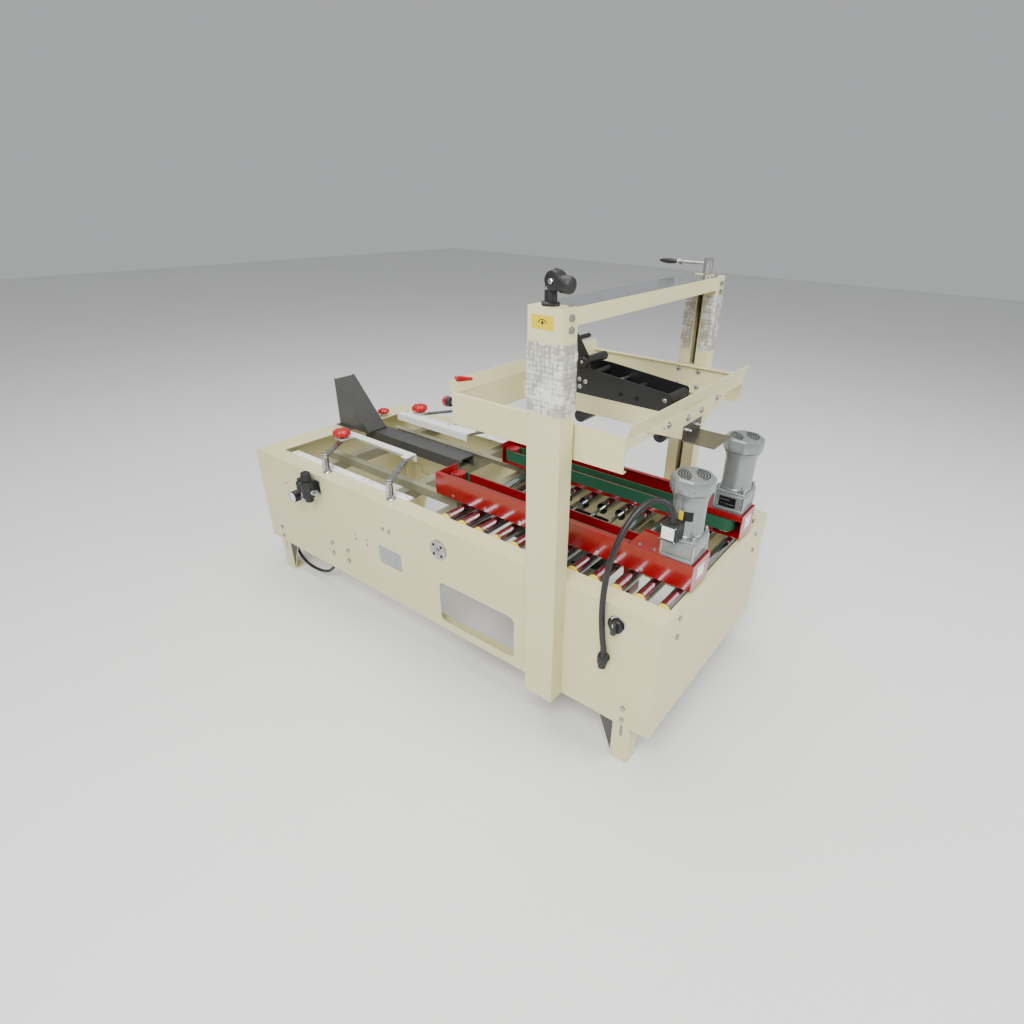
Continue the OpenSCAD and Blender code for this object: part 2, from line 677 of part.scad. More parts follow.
module rail() {
  rx0 = gp_xa - link_x - 45;
  py = -gp_y + link_y;
  union() {
    bx(rx0, rx0 + rail_l, py + 3, py + 33, guide_z, guide_z + 3);
    bx(rx0, rx0 + rail_l, py + 30, py + 33, guide_z - 25, guide_z + 3);
    for (x = [gp_xa, gp_xb]) {
      bx(x - link_x - 15, x - link_x + 15, py - 16, py + 3, guide_z, guide_z + 3);
      cyl_z(x - link_x, py, link_z0 - 3, guide_z, rail_pin_d);
    }
    bx(knob_x - 22, knob_x + 22, knob_y - 18, py + 3, guide_z, guide_z + 3);
    cyl_z(knob_x, knob_y, guide_z + 3, guide_z + 22, 10);
  }
}
module star_knob() {
  kx = knob_x;
  ky = knob_y;
  color("#c4161c") difference() {
    union() {
      cyl_z(kx, ky, knob_z0, knob_z0 + 14, 22);
      cyl_z(kx, ky, knob_z0 + 12, knob_z0 + 34, knob_d - 16);
      for (a = [0 : 60 : 300]) translate([kx, ky, 0]) rotate([0, 0, a]) cyl_z(knob_d / 2 - 10, 0, knob_z0 + 12, knob_z0 + 34, 20);
    }
    cyl_z(kx, ky, knob_z0 - 1, guide_z + 23, 10 + fit);
  }
}
module link_near_a() { color("#c9ccce") link(gp_xa, fit); }
module link_near_b() { color("#c9ccce") link(gp_xb, 1.2); }
module link_far_a() { color("#c9ccce") mirror([0, 1, 0]) link(gp_xa, fit); }
module link_far_b() { color("#c9ccce") mirror([0, 1, 0]) link(gp_xb, 1.2); }
module rail_near() { color("#e9e9e4") rail(); }
module rail_far() { color("#e9e9e4") mirror([0, 1, 0]) rail(); }
module star_knob_near() { star_knob(); }
module star_knob_far() { mirror([0, 1, 0]) star_knob(); }

// ---------- fittings ----------
reg_x = -505;
reg_y = -hy - 34;
module air_regulator() {
  color("#161719") union() {
    bx(reg_x - 30, reg_x + 30, -hy - 4, -hy, 445, 500);
    bx(reg_x - 10, reg_x + 10, reg_y, -hy - 4, 462, 488);
    cyl_z(reg_x, reg_y, 436, 505, 44);
    cyl_z(reg_x, reg_y, 410, 436, 34);
    cyl_z(reg_x, reg_y, 505, 520, 12);
    cyl_x(reg_y, 424, reg_x - 66, reg_x, 10);
    cyl_y(reg_x - 76, 424, reg_y - 22, reg_y + 8, 42);
    cyl_x(reg_y, 474, reg_x - 62, reg_x, 20);
    cyl_z(reg_x - 50, reg_y, 474, 502, 14);
    cyl_x(reg_y, 470, reg_x, reg_x + 50, 14);
  }
}
module regulator_knob() {
  color("#1d1d1f") difference() {
    union() {
      cyl_z(reg_x, reg_y, 505 + gap, 530, 38);
      cyl_z(reg_x, reg_y, 530, 538, 32);
    }
    cyl_z(reg_x, reg_y, 505, 521, 12 + fit);
  }
}
switch_x = 762;
switch_z = 463;
module switch_knob() {
  color("#1d1d1f") union() {
    translate([switch_x, -hy - 4, switch_z]) rotate([90, 0, 0]) cylinder(h = 22, d = 40, $fn = 6);
    cyl_y(switch_x, switch_z, -hy - 4, -hy - gap, 12);
  }
}
module cable_fittings() {
  gx = 736;
  gy = -hy - 16;
  color("#1b1b1d") {
    union() {
      cyl_z(gx, gy, 330, 370, 28);
      cyl_z(gx, gy, 322, 331, 22);
      cyl_y(gx, 348, gy + 4, -hy, 20);
    }
    union() {
      cyl_z(post_x - 6, -post_y, post_z1, post_z1 + 8, 40);
      cyl_z(post_x - 6, -post_y, post_z1, post_z1 + 46, 26);
      cyl_y(post_x + 6, post_z1 + 52, -post_y - 17, -post_y + 17, 42);
      cyl_x(-post_y, post_z1 + 46, post_x + 6, post_x + 48, 36);
    }
  }
}
module fasteners() {
  color("#a9acae") {
    for (x = [-458, -366], z = [252, 209]) bolt_y(x, z, -hy, 16, 6);
    for (x = [-147, -115]) bolt_y(x, 421, -hy, 14, 5);
    for (x = [-307, -244], z = [342, 322]) bolt_y(x, z, -hy, 8, 3);
    bolt_y(-704, 427, -hy, 9, 3);
    both_sides() for (s = [-1, 1], z = [158, 200]) bolt_y(s * (hx - sheet - 52 - leg_w / 2), z, -hy, 15, 6);
    both_sides() for (z = [425, 485]) {
      bolt_x(-275, z, hx, 16, 6);
      mirror([1, 0, 0]) bolt_x(-275, z, hx, 16, 6);
    }
    both_sides() for (z = [1176, 1201]) bolt_x(-post_y, z, post_x1, 16, 6);
    both_sides() for (x = [post_x0 + 11, post_x1 - 11]) bolt_z(x, -post_y0 - 12, post_z1, 12, 5);
    difference() {
      cyl_y(switch_x, switch_z, -hy - 3, -hy, 52);
      cyl_y(switch_x, switch_z, -hy - 4, -hy + 1, 12 + fit);
    }
  }
}
module drive_conduit() {
  color("#1b1b1d") cord(conduit_pts, conduit_d, 10);
}
module air_hose() {
  color("#1b1b1d") cord(hose_pts, hose_d, 10);
}

side_panels();
end_plates();
legs();
posts();
top_beam();
beam_cover();
bed_crossmembers();
roller_caps();
infeed_plates();
guide_mounts();
air_regulator();
junction_box();
cable_fittings();
fasteners();
slide_rods();
post_wraps();
air_hose();
drive_conduit();
regulator_knob();
switch_knob();
head_frame();
head_ski();
crank_handle();
crank_grip();
lead_screw_far();
lead_screw_near();
upper_tape_body();
upper_apply_arm();
upper_wipe_arm();
lower_tape_body();
lower_apply_arm();
drive_frame_near();
drive_frame_far();
belt_near();
belt_far();
gear_motor_near();
gear_motor_far();
pulley_near();
pulley_far();
width_screw();
link_near_a();
link_near_b();
link_far_a();
link_far_b();
rail_near();
rail_far();
star_knob_near();
star_knob_far();
roller_01();
roller_02();
roller_03();
roller_04();
roller_05();
roller_06();
roller_07();
roller_08();
roller_09();
roller_10();
roller_11();
roller_12();
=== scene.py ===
"""Looks for a carton sealer: finishes, fitted details, floor, light and camera, on the fixed frame."""

import json
import logging
import math
from collections.abc import Callable, Iterable, Sequence
from dataclasses import dataclass, field
from enum import Enum

import bmesh
import bpy
from mathutils import Matrix, Vector

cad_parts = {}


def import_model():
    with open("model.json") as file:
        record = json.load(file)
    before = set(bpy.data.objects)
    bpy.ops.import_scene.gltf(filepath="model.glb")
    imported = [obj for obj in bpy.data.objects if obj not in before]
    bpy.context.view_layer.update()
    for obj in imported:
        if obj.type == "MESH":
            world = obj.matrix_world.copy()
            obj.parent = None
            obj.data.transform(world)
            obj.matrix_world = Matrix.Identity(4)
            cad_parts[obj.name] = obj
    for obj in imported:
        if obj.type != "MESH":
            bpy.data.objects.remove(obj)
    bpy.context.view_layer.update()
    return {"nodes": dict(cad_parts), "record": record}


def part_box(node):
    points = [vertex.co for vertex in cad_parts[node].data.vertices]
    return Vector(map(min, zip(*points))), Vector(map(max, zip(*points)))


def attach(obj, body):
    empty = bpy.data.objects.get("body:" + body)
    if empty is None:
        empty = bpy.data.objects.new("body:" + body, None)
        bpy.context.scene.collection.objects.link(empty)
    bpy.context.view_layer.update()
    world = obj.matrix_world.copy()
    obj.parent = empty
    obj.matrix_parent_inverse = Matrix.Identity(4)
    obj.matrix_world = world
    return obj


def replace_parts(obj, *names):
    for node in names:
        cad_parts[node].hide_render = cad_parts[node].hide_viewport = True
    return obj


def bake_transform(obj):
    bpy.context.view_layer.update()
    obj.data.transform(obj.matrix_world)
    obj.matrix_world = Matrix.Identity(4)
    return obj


log = logging.getLogger("carton_sealer")
MM = 0.001
Point = tuple[float, float, float]
UP: Point = (0, 0, 1)
ALONG: Point = (1, 0, 0)
BACK: Point = (0, 1, 0)
FRONT: Point = (0, -1, 0)


# ---------------------------------------------------------------- helpers
def linear(code: str, alpha: float = 1.0) -> tuple[float, float, float, float]:
    """Turn an sRGB hex colour into linear values.

    Args:
        code: The colour as "#rrggbb".
        alpha: The fourth value.

    Returns:
        Red, green, blue and alpha.
    """
    parts = [int(code[i : i + 2], 16) / 255 for i in (1, 3, 5)]
    r, g, b = [c / 12.92 if c <= 0.04045 else ((c + 0.055) / 1.055) ** 2.4 for c in parts]
    return (r, g, b, alpha)


def add_node(
    tree: bpy.types.NodeTree, kind: str, links: dict | None = None, values: dict | None = None, **settings,
) -> bpy.types.Node:
    """Add a shader node with its settings, values and links.

    Args:
        tree: The node tree.
        kind: The node's type name.
        links: Input socket name or index to the output socket that feeds it.
        values: Input socket name or index to its fixed value.
        **settings: Attributes of the node itself.

    Returns:
        The new node.
    """
    node = tree.nodes.new(kind)
    for name, value in settings.items():
        setattr(node, name, value)
    for name, value in (values or {}).items():
        node.inputs[name].default_value = value
    for name, source in (links or {}).items():
        tree.links.new(source, node.inputs[name])
    return node


def scale_of(size_mm: float) -> float:
    """Scale, per metre, of a pattern whose repeats lie about size_mm apart."""
    return 1000.0 / size_mm


def add_noise(
    tree: bpy.types.NodeTree, where: bpy.types.NodeSocket, size_mm: float, detail: float, roughness: float,
) -> bpy.types.NodeSocket:
    """Add a noise texture.

    Args:
        tree: The node tree.
        where: The coordinates.
        size_mm: About how far apart its repeats lie.
        detail: How many finer layers it has.
        roughness: How strong the finer layers are.

    Returns:
        Its value, about 0.3 to 0.7.
    """
    values = {"Scale": scale_of(size_mm), "Detail": detail, "Roughness": roughness}
    return add_node(tree, "ShaderNodeTexNoise", {"Vector": where}, values).outputs["Fac"]


def add_range(
    tree: bpy.types.NodeTree, value: bpy.types.NodeSocket, span: tuple[float, float],
    result: tuple[float, float] = (0.0, 1.0),
) -> bpy.types.NodeSocket:
    """Stretch a value from one span to another.

    Args:
        tree: The node tree.
        value: The value.
        span: Its low and high end.
        result: What these become.

    Returns:
        The stretched value.
    """
    ends = dict(zip(("From Min", "From Max", "To Min", "To Max"), span + result))
    return add_node(tree, "ShaderNodeMapRange", {"Value": value}, ends).outputs["Result"]


class Surface:
    """Anything with a name, a colour and a shade that is made into a material."""

    name: str
    colour: str
    shade: str

    def material(self) -> bpy.types.Material:
        """Build the material once and hand back the same one afterwards."""
        made = bpy.data.materials.get(self.name)
        if made:
            return made
        mat = bpy.data.materials.new(self.name)
        mat.use_nodes = True
        tree = mat.node_tree
        where = add_node(tree, "ShaderNodeTexCoord").outputs["Object"]
        self.dress(tree, tree.nodes["Principled BSDF"], where)
        return mat

    def mix(self, tree: bpy.types.NodeTree, factor: bpy.types.NodeSocket) -> bpy.types.NodeSocket:
        """Mix the colour with its shade.

        Args:
            tree: The node tree.
            factor: How much of the shade shows.

        Returns:
            The mixed colour.
        """
        pair = {6: linear(self.colour), 7: linear(self.shade)}
        return add_node(tree, "ShaderNodeMix", {"Factor": factor}, pair, data_type="RGBA").outputs[2]


class Grain(Enum):
    """How a surface's fine relief is laid."""

    FINE = "fine"
    ORANGE_PEEL = "orange_peel"
    BRUSHED_X = "brushed_x"
    BRUSHED_Y = "brushed_y"


@dataclass(frozen=True)
class Finish(Surface):
    """One real material and the way that its surface was made."""

    name: str
    colour: str
    shade: str
    roughness: float
    metallic: float = 0.0
    grain: Grain = Grain.FINE
    grain_mm: float = 1.2
    relief_mm: float = 0.02
    patch_mm: float = 180.0
    patch: float = 0.35
    rough_swing: float = 0.08
    coat: float = 0.0
    coat_roughness: float = 0.08
    edge_mm: float = 0.0

    def dress(self, tree: bpy.types.NodeTree, shader: bpy.types.Node, where: bpy.types.NodeSocket) -> None:
        """Colour and roughness that drift in large soft patches, a coat and a relief.

        Args:
            tree: The material's nodes.
            shader: The surface shader.
            where: Object coordinates.
        """
        patches = add_noise(tree, where, self.patch_mm, 5.0, 0.6)
        spread = add_range(tree, patches, (0.5 - self.patch, 0.5 + self.patch))
        tree.links.new(self.mix(tree, spread), shader.inputs["Base Color"])
        least = max(0.02, self.roughness - self.rough_swing)
        most = min(1.0, self.roughness + self.rough_swing)
        rough = add_range(tree, add_noise(tree, where, 35.0, 8.0, 0.65), (0.3, 0.7), (least, most))
        tree.links.new(rough, shader.inputs["Roughness"])
        shader.inputs["Metallic"].default_value = self.metallic
        shader.inputs["Coat Weight"].default_value = self.coat
        shader.inputs["Coat Roughness"].default_value = self.coat_roughness
        self._relief(tree, shader, where)

    def _relief(self, tree: bpy.types.NodeTree, shader: bpy.types.Node, where: bpy.types.NodeSocket) -> None:
        """Fine relief of the surface: peel, brushing or grain.

        Args:
            tree: The material's nodes.
            shader: The surface shader.
            where: Object coordinates.
        """
        stretch = {Grain.BRUSHED_X: (0.02, 1.0, 1.0), Grain.BRUSHED_Y: (1.0, 0.02, 1.0)}.get(self.grain)
        source = where
        if stretch:
            mapping = add_node(tree, "ShaderNodeMapping", {"Vector": where}, {"Scale": stretch})
            source = mapping.outputs["Vector"]
        links = {"Height": add_noise(tree, source, self.grain_mm, 3.0, 0.55)}
        values = {"Strength": 1.0, "Distance": self.relief_mm * MM}
        if self.edge_mm > 0:
            rim = add_node(tree, "ShaderNodeBevel", values={"Radius": self.edge_mm * MM}, samples=4)
            links["Normal"] = rim.outputs["Normal"]
        bump = add_node(tree, "ShaderNodeBump", links, values)
        tree.links.new(bump.outputs["Normal"], shader.inputs["Normal"])


# Powder-coated mild steel: a warm cream with a fine even peel, slightly glossy.
CREAM_COAT = Finish(
    "powder_coat_cream", "#d8d1a2", "#d0c897", 0.4, grain=Grain.ORANGE_PEEL, grain_mm=1.6, relief_mm=0.03,
    edge_mm=1.2, patch_mm=400,
)
# Gloss polyester paint on folded steel: deep red that mirrors what stands near.
RED_GLOSS = Finish(
    "gloss_paint_red", "#960813", "#82060f", 0.2, grain_mm=2.5, relief_mm=0.02, coat=0.5, edge_mm=1.0,
    rough_swing=0.05,
)
# Sprayed machine enamel on cast aluminium: cool mid grey, slightly pitted.
GREY_ENAMEL = Finish(
    "machine_enamel_grey", "#8b9191", "#7d8384", 0.3, metallic=0.45, coat=0.25, grain_mm=1.5, relief_mm=0.05,
    edge_mm=1.0,
)
# Dark grey structured paint on the infeed plates.
PLATE_GREY = Finish(
    "structured_paint_grey", "#434341", "#393937", 0.36, grain_mm=1.8, relief_mm=0.05, edge_mm=0.8,
)
# Zinc-plated steel: pale grey with faint cloudy patches.
ZINC = Finish(
    "zinc_plated_steel", "#b7b8b6", "#9fa1a1", 0.32, metallic=1.0, grain_mm=1.0, relief_mm=0.01, patch_mm=25,
    rough_swing=0.1,
)
# Ground and polished roller tube.
ROLLER_CHROME = Finish(
    "polished_roller_tube", "#d6d8d9", "#c3c6c8", 0.17, metallic=1.0, grain=Grain.BRUSHED_Y, grain_mm=0.8,
    relief_mm=0.004, patch_mm=60,
)
# Bare hot-rolled steel on the carton ski: dull, brownish grey.
SKI_STEEL = Finish(
    "bare_rolled_steel", "#7b766c", "#68645c", 0.36, metallic=0.85, grain=Grain.BRUSHED_X, grain_mm=1.2,
    relief_mm=0.02,
)
# Satin black coat on the tape units.
BLACK_COAT = Finish("satin_coat_black", "#1b1c1e", "#151617", 0.4, grain_mm=1.2, relief_mm=0.02, edge_mm=0.8)
# Glass-filled nylon: black, faintly grained by the mould.
BLACK_NYLON = Finish("moulded_nylon_black", "#1d1d1f", "#161618", 0.48, grain_mm=0.9, relief_mm=0.03)
# Glossy moulded knobs.
RED_ABS = Finish("moulded_abs_red", "#b80d14", "#a30a10", 0.28, grain_mm=1.5, relief_mm=0.01, coat=0.15)
# Pressed-in end caps of the rollers.
YELLOW_CAP = Finish("moulded_cap_yellow", "#e6d23e", "#d9c430", 0.5, grain_mm=1.0, relief_mm=0.02)
# Low-friction strips on the guide slides.
WHITE_STRIP = Finish(
    "extruded_strip_white", "#f1f1ec", "#e6e6e0", 0.45, grain=Grain.BRUSHED_X, grain_mm=1.5, relief_mm=0.01,
)
# Rubber belt with a rough fabric-like face.
BELT_GREEN = Finish(
    "rough_top_belt_green", "#1f5f40", "#184f34", 0.75, grain_mm=2.2, relief_mm=0.25, patch_mm=90,
    rough_swing=0.1,
)
# Bright aluminium sheet over the beam.
COVER_SHEET = Finish(
    "bright_aluminium_sheet", "#d3d5d6", "#c2c5c7", 0.2, metallic=1.0, grain=Grain.BRUSHED_Y, grain_mm=1.5,
    relief_mm=0.004,
)
# Smooth extruded hose.
HOSE = Finish("extruded_hose_black", "#1a1a1b", "#131314", 0.42, grain_mm=1.5, relief_mm=0.01)

# White gloss coat on the two guide rails.
WHITE_RAIL = Finish(
    "gloss_coat_white", "#eeeeea", "#e4e4df", 0.28, grain_mm=2.0, relief_mm=0.01, coat=0.2, edge_mm=0.8,
)
# Dark grey sheet on the webs behind the legs: painted shade under the panel.
WEB_SHADE_GREY = Finish("painted_shade_web_grey", "#4b4a46", "#403f3c", 0.6, grain_mm=2.0, relief_mm=0.02)

# The same cream coat in the bed's frame, darkened and made rougher to paint the shade that falls inside the
# bed.
SHADED_BED_CREAM = Finish(
    "painted_shade_coat_cream", "#8d8a70", "#7b7862", 0.6, grain=Grain.ORANGE_PEEL, grain_mm=1.6, relief_mm=0.03,
)

NODE_FINISH: dict[str, Finish] = {
    "rail_near": WHITE_RAIL, "rail_far": WHITE_RAIL, "bed_crossmembers": SHADED_BED_CREAM,
}
SLOT_FINISH: dict[str, Finish] = {
    "cream_paint": CREAM_COAT,
    "red_paint": RED_GLOSS,
    "motor_grey": GREY_ENAMEL,
    "plate_grey": PLATE_GREY,
    "zinc_steel": ZINC,
    "roller_chrome": ROLLER_CHROME,
    "ski_steel": SKI_STEEL,
    "black_paint": BLACK_COAT,
    "black_plastic": BLACK_NYLON,
    "red_plastic": RED_ABS,
    "yellow_plastic": YELLOW_CAP,
    "white_plastic": WHITE_STRIP,
    "green_belt": BELT_GREEN,
    "wrap_film": WHITE_STRIP,
    "cover_steel": COVER_SHEET,
    "black_rubber": HOSE,
}


def dress_nodes(frame: dict) -> None:
    """Give every carried-over node the finish of its slot.
    """
    for row in frame["record"]["subparts"]:
        node = frame["nodes"][row["node"]]
        mat = NODE_FINISH.get(row["node"], SLOT_FINISH[row["material_slot"]]).material()
        if not node.material_slots:
            node.data.materials.append(mat)
        for place in node.material_slots:
            place.material = mat


@dataclass(frozen=True)
class BubbleFilm(Surface):
    """Clear polyethylene bubble film in several layers: milky, glossy, with painted white highlights, round
    bubbles.
    """

    name: str = "bubble_film_clear"
    # The colour is the painted highlight white on the bubble tops; the shade is the grey film between them.
    colour: str = "#f6f6f2"
    shade: str = "#a9a799"
    bubble_mm: float = 11.0

    def dress(self, tree: bpy.types.NodeTree, shader: bpy.types.Node, where: bpy.types.NodeSocket) -> None:
        """Round bubbles, fine creases, and painted highlights: white streaks on the bubble tops.

        Args:
            tree: The material's nodes.
            shader: The surface shader.
            where: Object coordinates.
        """
        cells = add_node(
            tree, "ShaderNodeTexVoronoi", {"Vector": where},
            {"Scale": scale_of(self.bubble_mm), "Randomness": 0.35}, feature="SMOOTH_F1",
        )
        creases = add_noise(tree, where, 45.0, 6.0, 0.7)
        height = cells.outputs["Distance"]
        heights = []
        for _ in range(2):
            height = add_node(
                tree, "ShaderNodeMath", {0: height, 1: creases}, operation="SUBTRACT",
            ).outputs[0]
            heights.append(height)
        bumps, painted_glint_height = heights
        bump = add_node(
            tree, "ShaderNodeBump", {"Height": bumps}, {"Strength": 1.0, "Distance": 6.0 * MM},
        )
        # Painted highlights: bubble tops and crease streaks are mixed towards white, the rest towards grey.
        painted_glint_mix = add_range(tree, painted_glint_height, (-0.85, -0.45))
        tree.links.new(self.mix(tree, painted_glint_mix), shader.inputs["Base Color"])
        tree.links.new(bump.outputs["Normal"], shader.inputs["Normal"])
        for name, value in (
            ("Roughness", 0.14), ("Specular IOR Level", 0.8), ("Coat Weight", 1.0), ("Coat Roughness", 0.05),
            ("Alpha", 0.86),
        ):
            shader.inputs[name].default_value = value


# A generic yellow enamel plate with a plain ring.
PLATE_YELLOW = Finish("enamel_plate_yellow", "#dcc000", "#d2b600", 0.4, grain_mm=3.0, relief_mm=0.01)
# Anodised aluminium rating plate with no lettering.
PLATE_SILVER = Finish(
    "anodised_plate_silver", "#a7a9ac", "#9a9ca0", 0.4, metallic=0.6, grain=Grain.BRUSHED_X, grain_mm=1.0,
    relief_mm=0.01,
)
# White printed plates, left blank.
PLATE_WHITE = Finish("printed_plate_white", "#efefec", "#e6e6e2", 0.4, grain_mm=3.0, relief_mm=0.01)
# Black gaps: fan slots and holes that end in shadow.
DARK_GAP = Finish("shadowed_gap_black", "#0c0c0d", "#101011", 0.7, grain_mm=2.0, relief_mm=0.02)
# Bright nickel plating on hand levers and small fittings.
NICKEL = Finish(
    "nickel_plated_brass", "#d9dadb", "#b9bbbd", 0.16, metallic=1.0, grain_mm=2.0, relief_mm=0.01,
    patch_mm=30,
)
# Clear gauge cover, seen from outside as a pale face.
GAUGE_FACE = Finish("gauge_face_white", "#eceff0", "#e2e6e8", 0.08, coat=1.0, grain_mm=4.0, relief_mm=0.0)
# Black oxide on socket screws.
BLACK_OXIDE = Finish(
    "black_oxide_steel", "#2b2b2d", "#222224", 0.35, metallic=0.7, grain_mm=1.0, relief_mm=0.01,
)
BUBBLE = BubbleFilm()


@dataclass
class Shaper:
    """Collects plain solids into one mesh piece. All sizes are in millimetres."""

    name: str
    body: str
    finishes: list[Surface]
    slot: str = ""
    bm: bmesh.types.BMesh = field(default_factory=bmesh.new)

    def paint(self, faces: Iterable[bmesh.types.BMFace], which: int) -> None:
        """Give faces one of the piece's finishes.

        Args:
            faces: The faces.
            which: Index of the finish.
        """
        for face in faces:
            face.material_index = which

    def skin(self, rings: Sequence[Sequence[Point | Vector]], which: int = 0) -> None:
        """Join closed rings of points, one to the next, and close both ends.

        Args:
            rings: The rings, each with as many points as the others.
            which: Index of the finish.
        """
        loops = [[self.bm.verts.new(point) for point in ring] for ring in rings]
        faces = [self.bm.faces.new(loops[0][::-1]), self.bm.faces.new(loops[-1])]
        for low, high in zip(loops, loops[1:]):
            for k, (a, b) in enumerate(zip(low, high)):
                m = (k + 1) % len(low)
                faces.append(self.bm.faces.new((a, low[m], high[m], b)))
        self.paint(faces, which)

    def ribs(
        self, at: Point, radius: float, height: float, count: int, half: float = 1.0, round_mm: float = 0.5,
    ) -> None:
        """Add small upright ribs in a ring.

        Args:
            at: The middle of the ring, at the ribs' feet.
            radius: From the middle to each rib's middle.
            height: The ribs' height.
            count: How many there are.
            half: Half a rib's width.
            round_mm: Radius of the edges.
        """
        for k in range(count):
            x = at[0] + radius * math.cos(math.tau * k / count)
            y = at[1] + radius * math.sin(math.tau * k / count)
            self.slab((x - half, y - half, at[2]), (x + half, y + half, at[2] + height), 0, round_mm, 1)

    def slab(
        self, lo: Point, hi: Point, which: int = 0, round_mm: float = 1.0, steps: int = 2,
        turn: Matrix | None = None,
    ) -> None:
        """Add a box with rounded edges.

        Args:
            lo: Lowest corner.
            hi: Highest corner.
            which: Index of the finish.
            round_mm: Radius of the edges.
            steps: Segments of each rounded edge.
            turn: A rotation about the box's own middle.
        """
        before = set(self.bm.faces)
        made = bmesh.ops.create_cube(self.bm, size=1.0)["verts"]
        size = Vector([b - a for a, b in zip(lo, hi)])
        mid = Vector([(a + b) / 2 for a, b in zip(lo, hi)])
        for vert in made:
            vert.co = Vector([c * k for c, k in zip(vert.co, size)])
        edges = list({e for v in made for e in v.link_edges})
        if round_mm > 0:
            bmesh.ops.bevel(
                self.bm, geom=edges, offset=min(round_mm, 0.45 * min(size)), segments=steps,
                affect="EDGES", profile=0.5, clamp_overlap=True,
            )
        faces = [f for f in self.bm.faces if f not in before]
        self.paint(faces, which)
        verts = {v for f in faces for v in f.verts}
        move = Matrix.Translation(mid) @ (turn.to_4x4() if turn else Matrix.Identity(4))
        for vert in verts:
            vert.co = move @ vert.co

    def turned(
        self, profile: Sequence[tuple[float, float]], at: Point, along: Point = UP, which: int = 0,
        sides: int = 48,
    ) -> None:
        """Add a turned solid.

        Args:
            profile: Radius and height pairs, from one end to the other.
            at: Where height 0 lies.
            along: The axis.
            which: Index of the finish.
            sides: Segments round the axis.
        """
        turn = Vector(along).to_track_quat("Z", "Y").to_matrix()
        circle = [(math.cos(math.tau * k / sides), math.sin(math.tau * k / sides)) for k in range(sides)]
        self.skin(
            [[Vector(at) + turn @ Vector((r * c, r * s, h)) for c, s in circle] for r, h in profile], which,
        )

    def prism(
        self, outline: Sequence[tuple[float, float]], low: float, high: float, axis: str = "z",
        which: int = 0, at: Point = (0, 0, 0),
    ) -> None:
        """Add a flat outline pushed along an axis.

        Args:
            outline: Points across the axis, in order.
            low: Where it starts along the axis.
            high: Where it ends.
            axis: "x", "y" or "z".
            which: Index of the finish.
            at: An offset for the whole solid.
        """
        place: dict[str, Callable[[float, float, float], Point]] = {
            "x": lambda a, b, h: (h, a, b),
            "y": lambda a, b, h: (a, h, b),
            "z": lambda a, b, h: (a, b, h),
        }
        ends = (low, high)
        self.skin([[Vector(place[axis](a, b, h)) + Vector(at) for a, b in outline] for h in ends], which)

    def tube(
        self, route: Sequence[Point], radius: Callable[[float], float] | float, which: int = 0,
        sides: int = 20, spacing: float = 4.0,
    ) -> None:
        """Add a round tube along a smooth curve through the route's points.

        Args:
            route: The points, in order.
            radius: A radius, or one that depends on the length along the tube.
            which: Index of the finish.
            sides: Segments round the tube.
            spacing: Distance between rings.
        """
        points = smooth_route(route, spacing)
        side = None
        rings = []
        run = 0.0
        for k, point in enumerate(points):
            ahead = (points[min(k + 1, len(points) - 1)] - points[max(k - 1, 0)]).normalized()
            side = (side - ahead * side.dot(ahead)).normalized() if side else ahead.orthogonal().normalized()
            up = ahead.cross(side)
            run += (point - points[k - 1]).length if k else 0.0
            r = radius(run) if callable(radius) else radius
            turns = [math.tau * i / sides for i in range(sides)]
            rings.append([point + r * (math.cos(a) * side + math.sin(a) * up) for a in turns])
        self.skin(rings, which)

    def screw(
        self, at: Point, along: Point, radius: float = 5.0, height: float = 5.0, which: int = 0,
        socket: int | None = None,
    ) -> None:
        """Add a cap screw's head with a dished middle, on a thin washer.

        Args:
            at: The middle of the washer's underside.
            along: The way the head points.
            radius: The head's radius.
            height: The head's height.
            which: Index of the finish.
            socket: Index of the finish in the socket, if there is one.
        """
        r, h = radius, height
        self.turned(
            [
                (r * 1.5, 0), (r * 1.5, 0.8), (r, 0.8), (r, h - 0.8), (r - 0.8, h), (r * 0.5, h),
                (r * 0.45, h - 0.4 * h),
            ],
            at, along, which, 24,
        )
        if socket is not None:
            tip = Vector(at) + Vector(along).normalized() * (h - 0.35 * h)
            self.turned([(r * 0.44, 0), (r * 0.44, 0.1)], tuple(tip), along, socket, 6)

    def done(self, smooth_deg: float = 32.0) -> bpy.types.Object:
        """Turn the mesh into a piece in metres that rides on its body.

        Args:
            smooth_deg: Edges sharper than this stay crisp.

        Returns:
            The new object.
        """
        bmesh.ops.recalc_face_normals(self.bm, faces=self.bm.faces)
        limit = math.radians(smooth_deg)
        for face in self.bm.faces:
            face.smooth = True
        for edge in self.bm.edges:
            if len(edge.link_faces) == 2 and edge.calc_face_angle(0) > limit:
                edge.smooth = False
        for vert in self.bm.verts:
            vert.co *= MM
        mesh = bpy.data.meshes.new(self.name)
        self.bm.to_mesh(mesh)
        self.bm.free()
        for finish in self.finishes:
            mesh.materials.append(finish.material())
        obj = bpy.data.objects.new(self.name, mesh)
        bpy.context.scene.collection.objects.link(obj)
        if self.body:
            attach(obj, self.body)
        log.info("%s: %d faces on %s", self.name, len(mesh.polygons), self.body or "two bodies")
        return obj


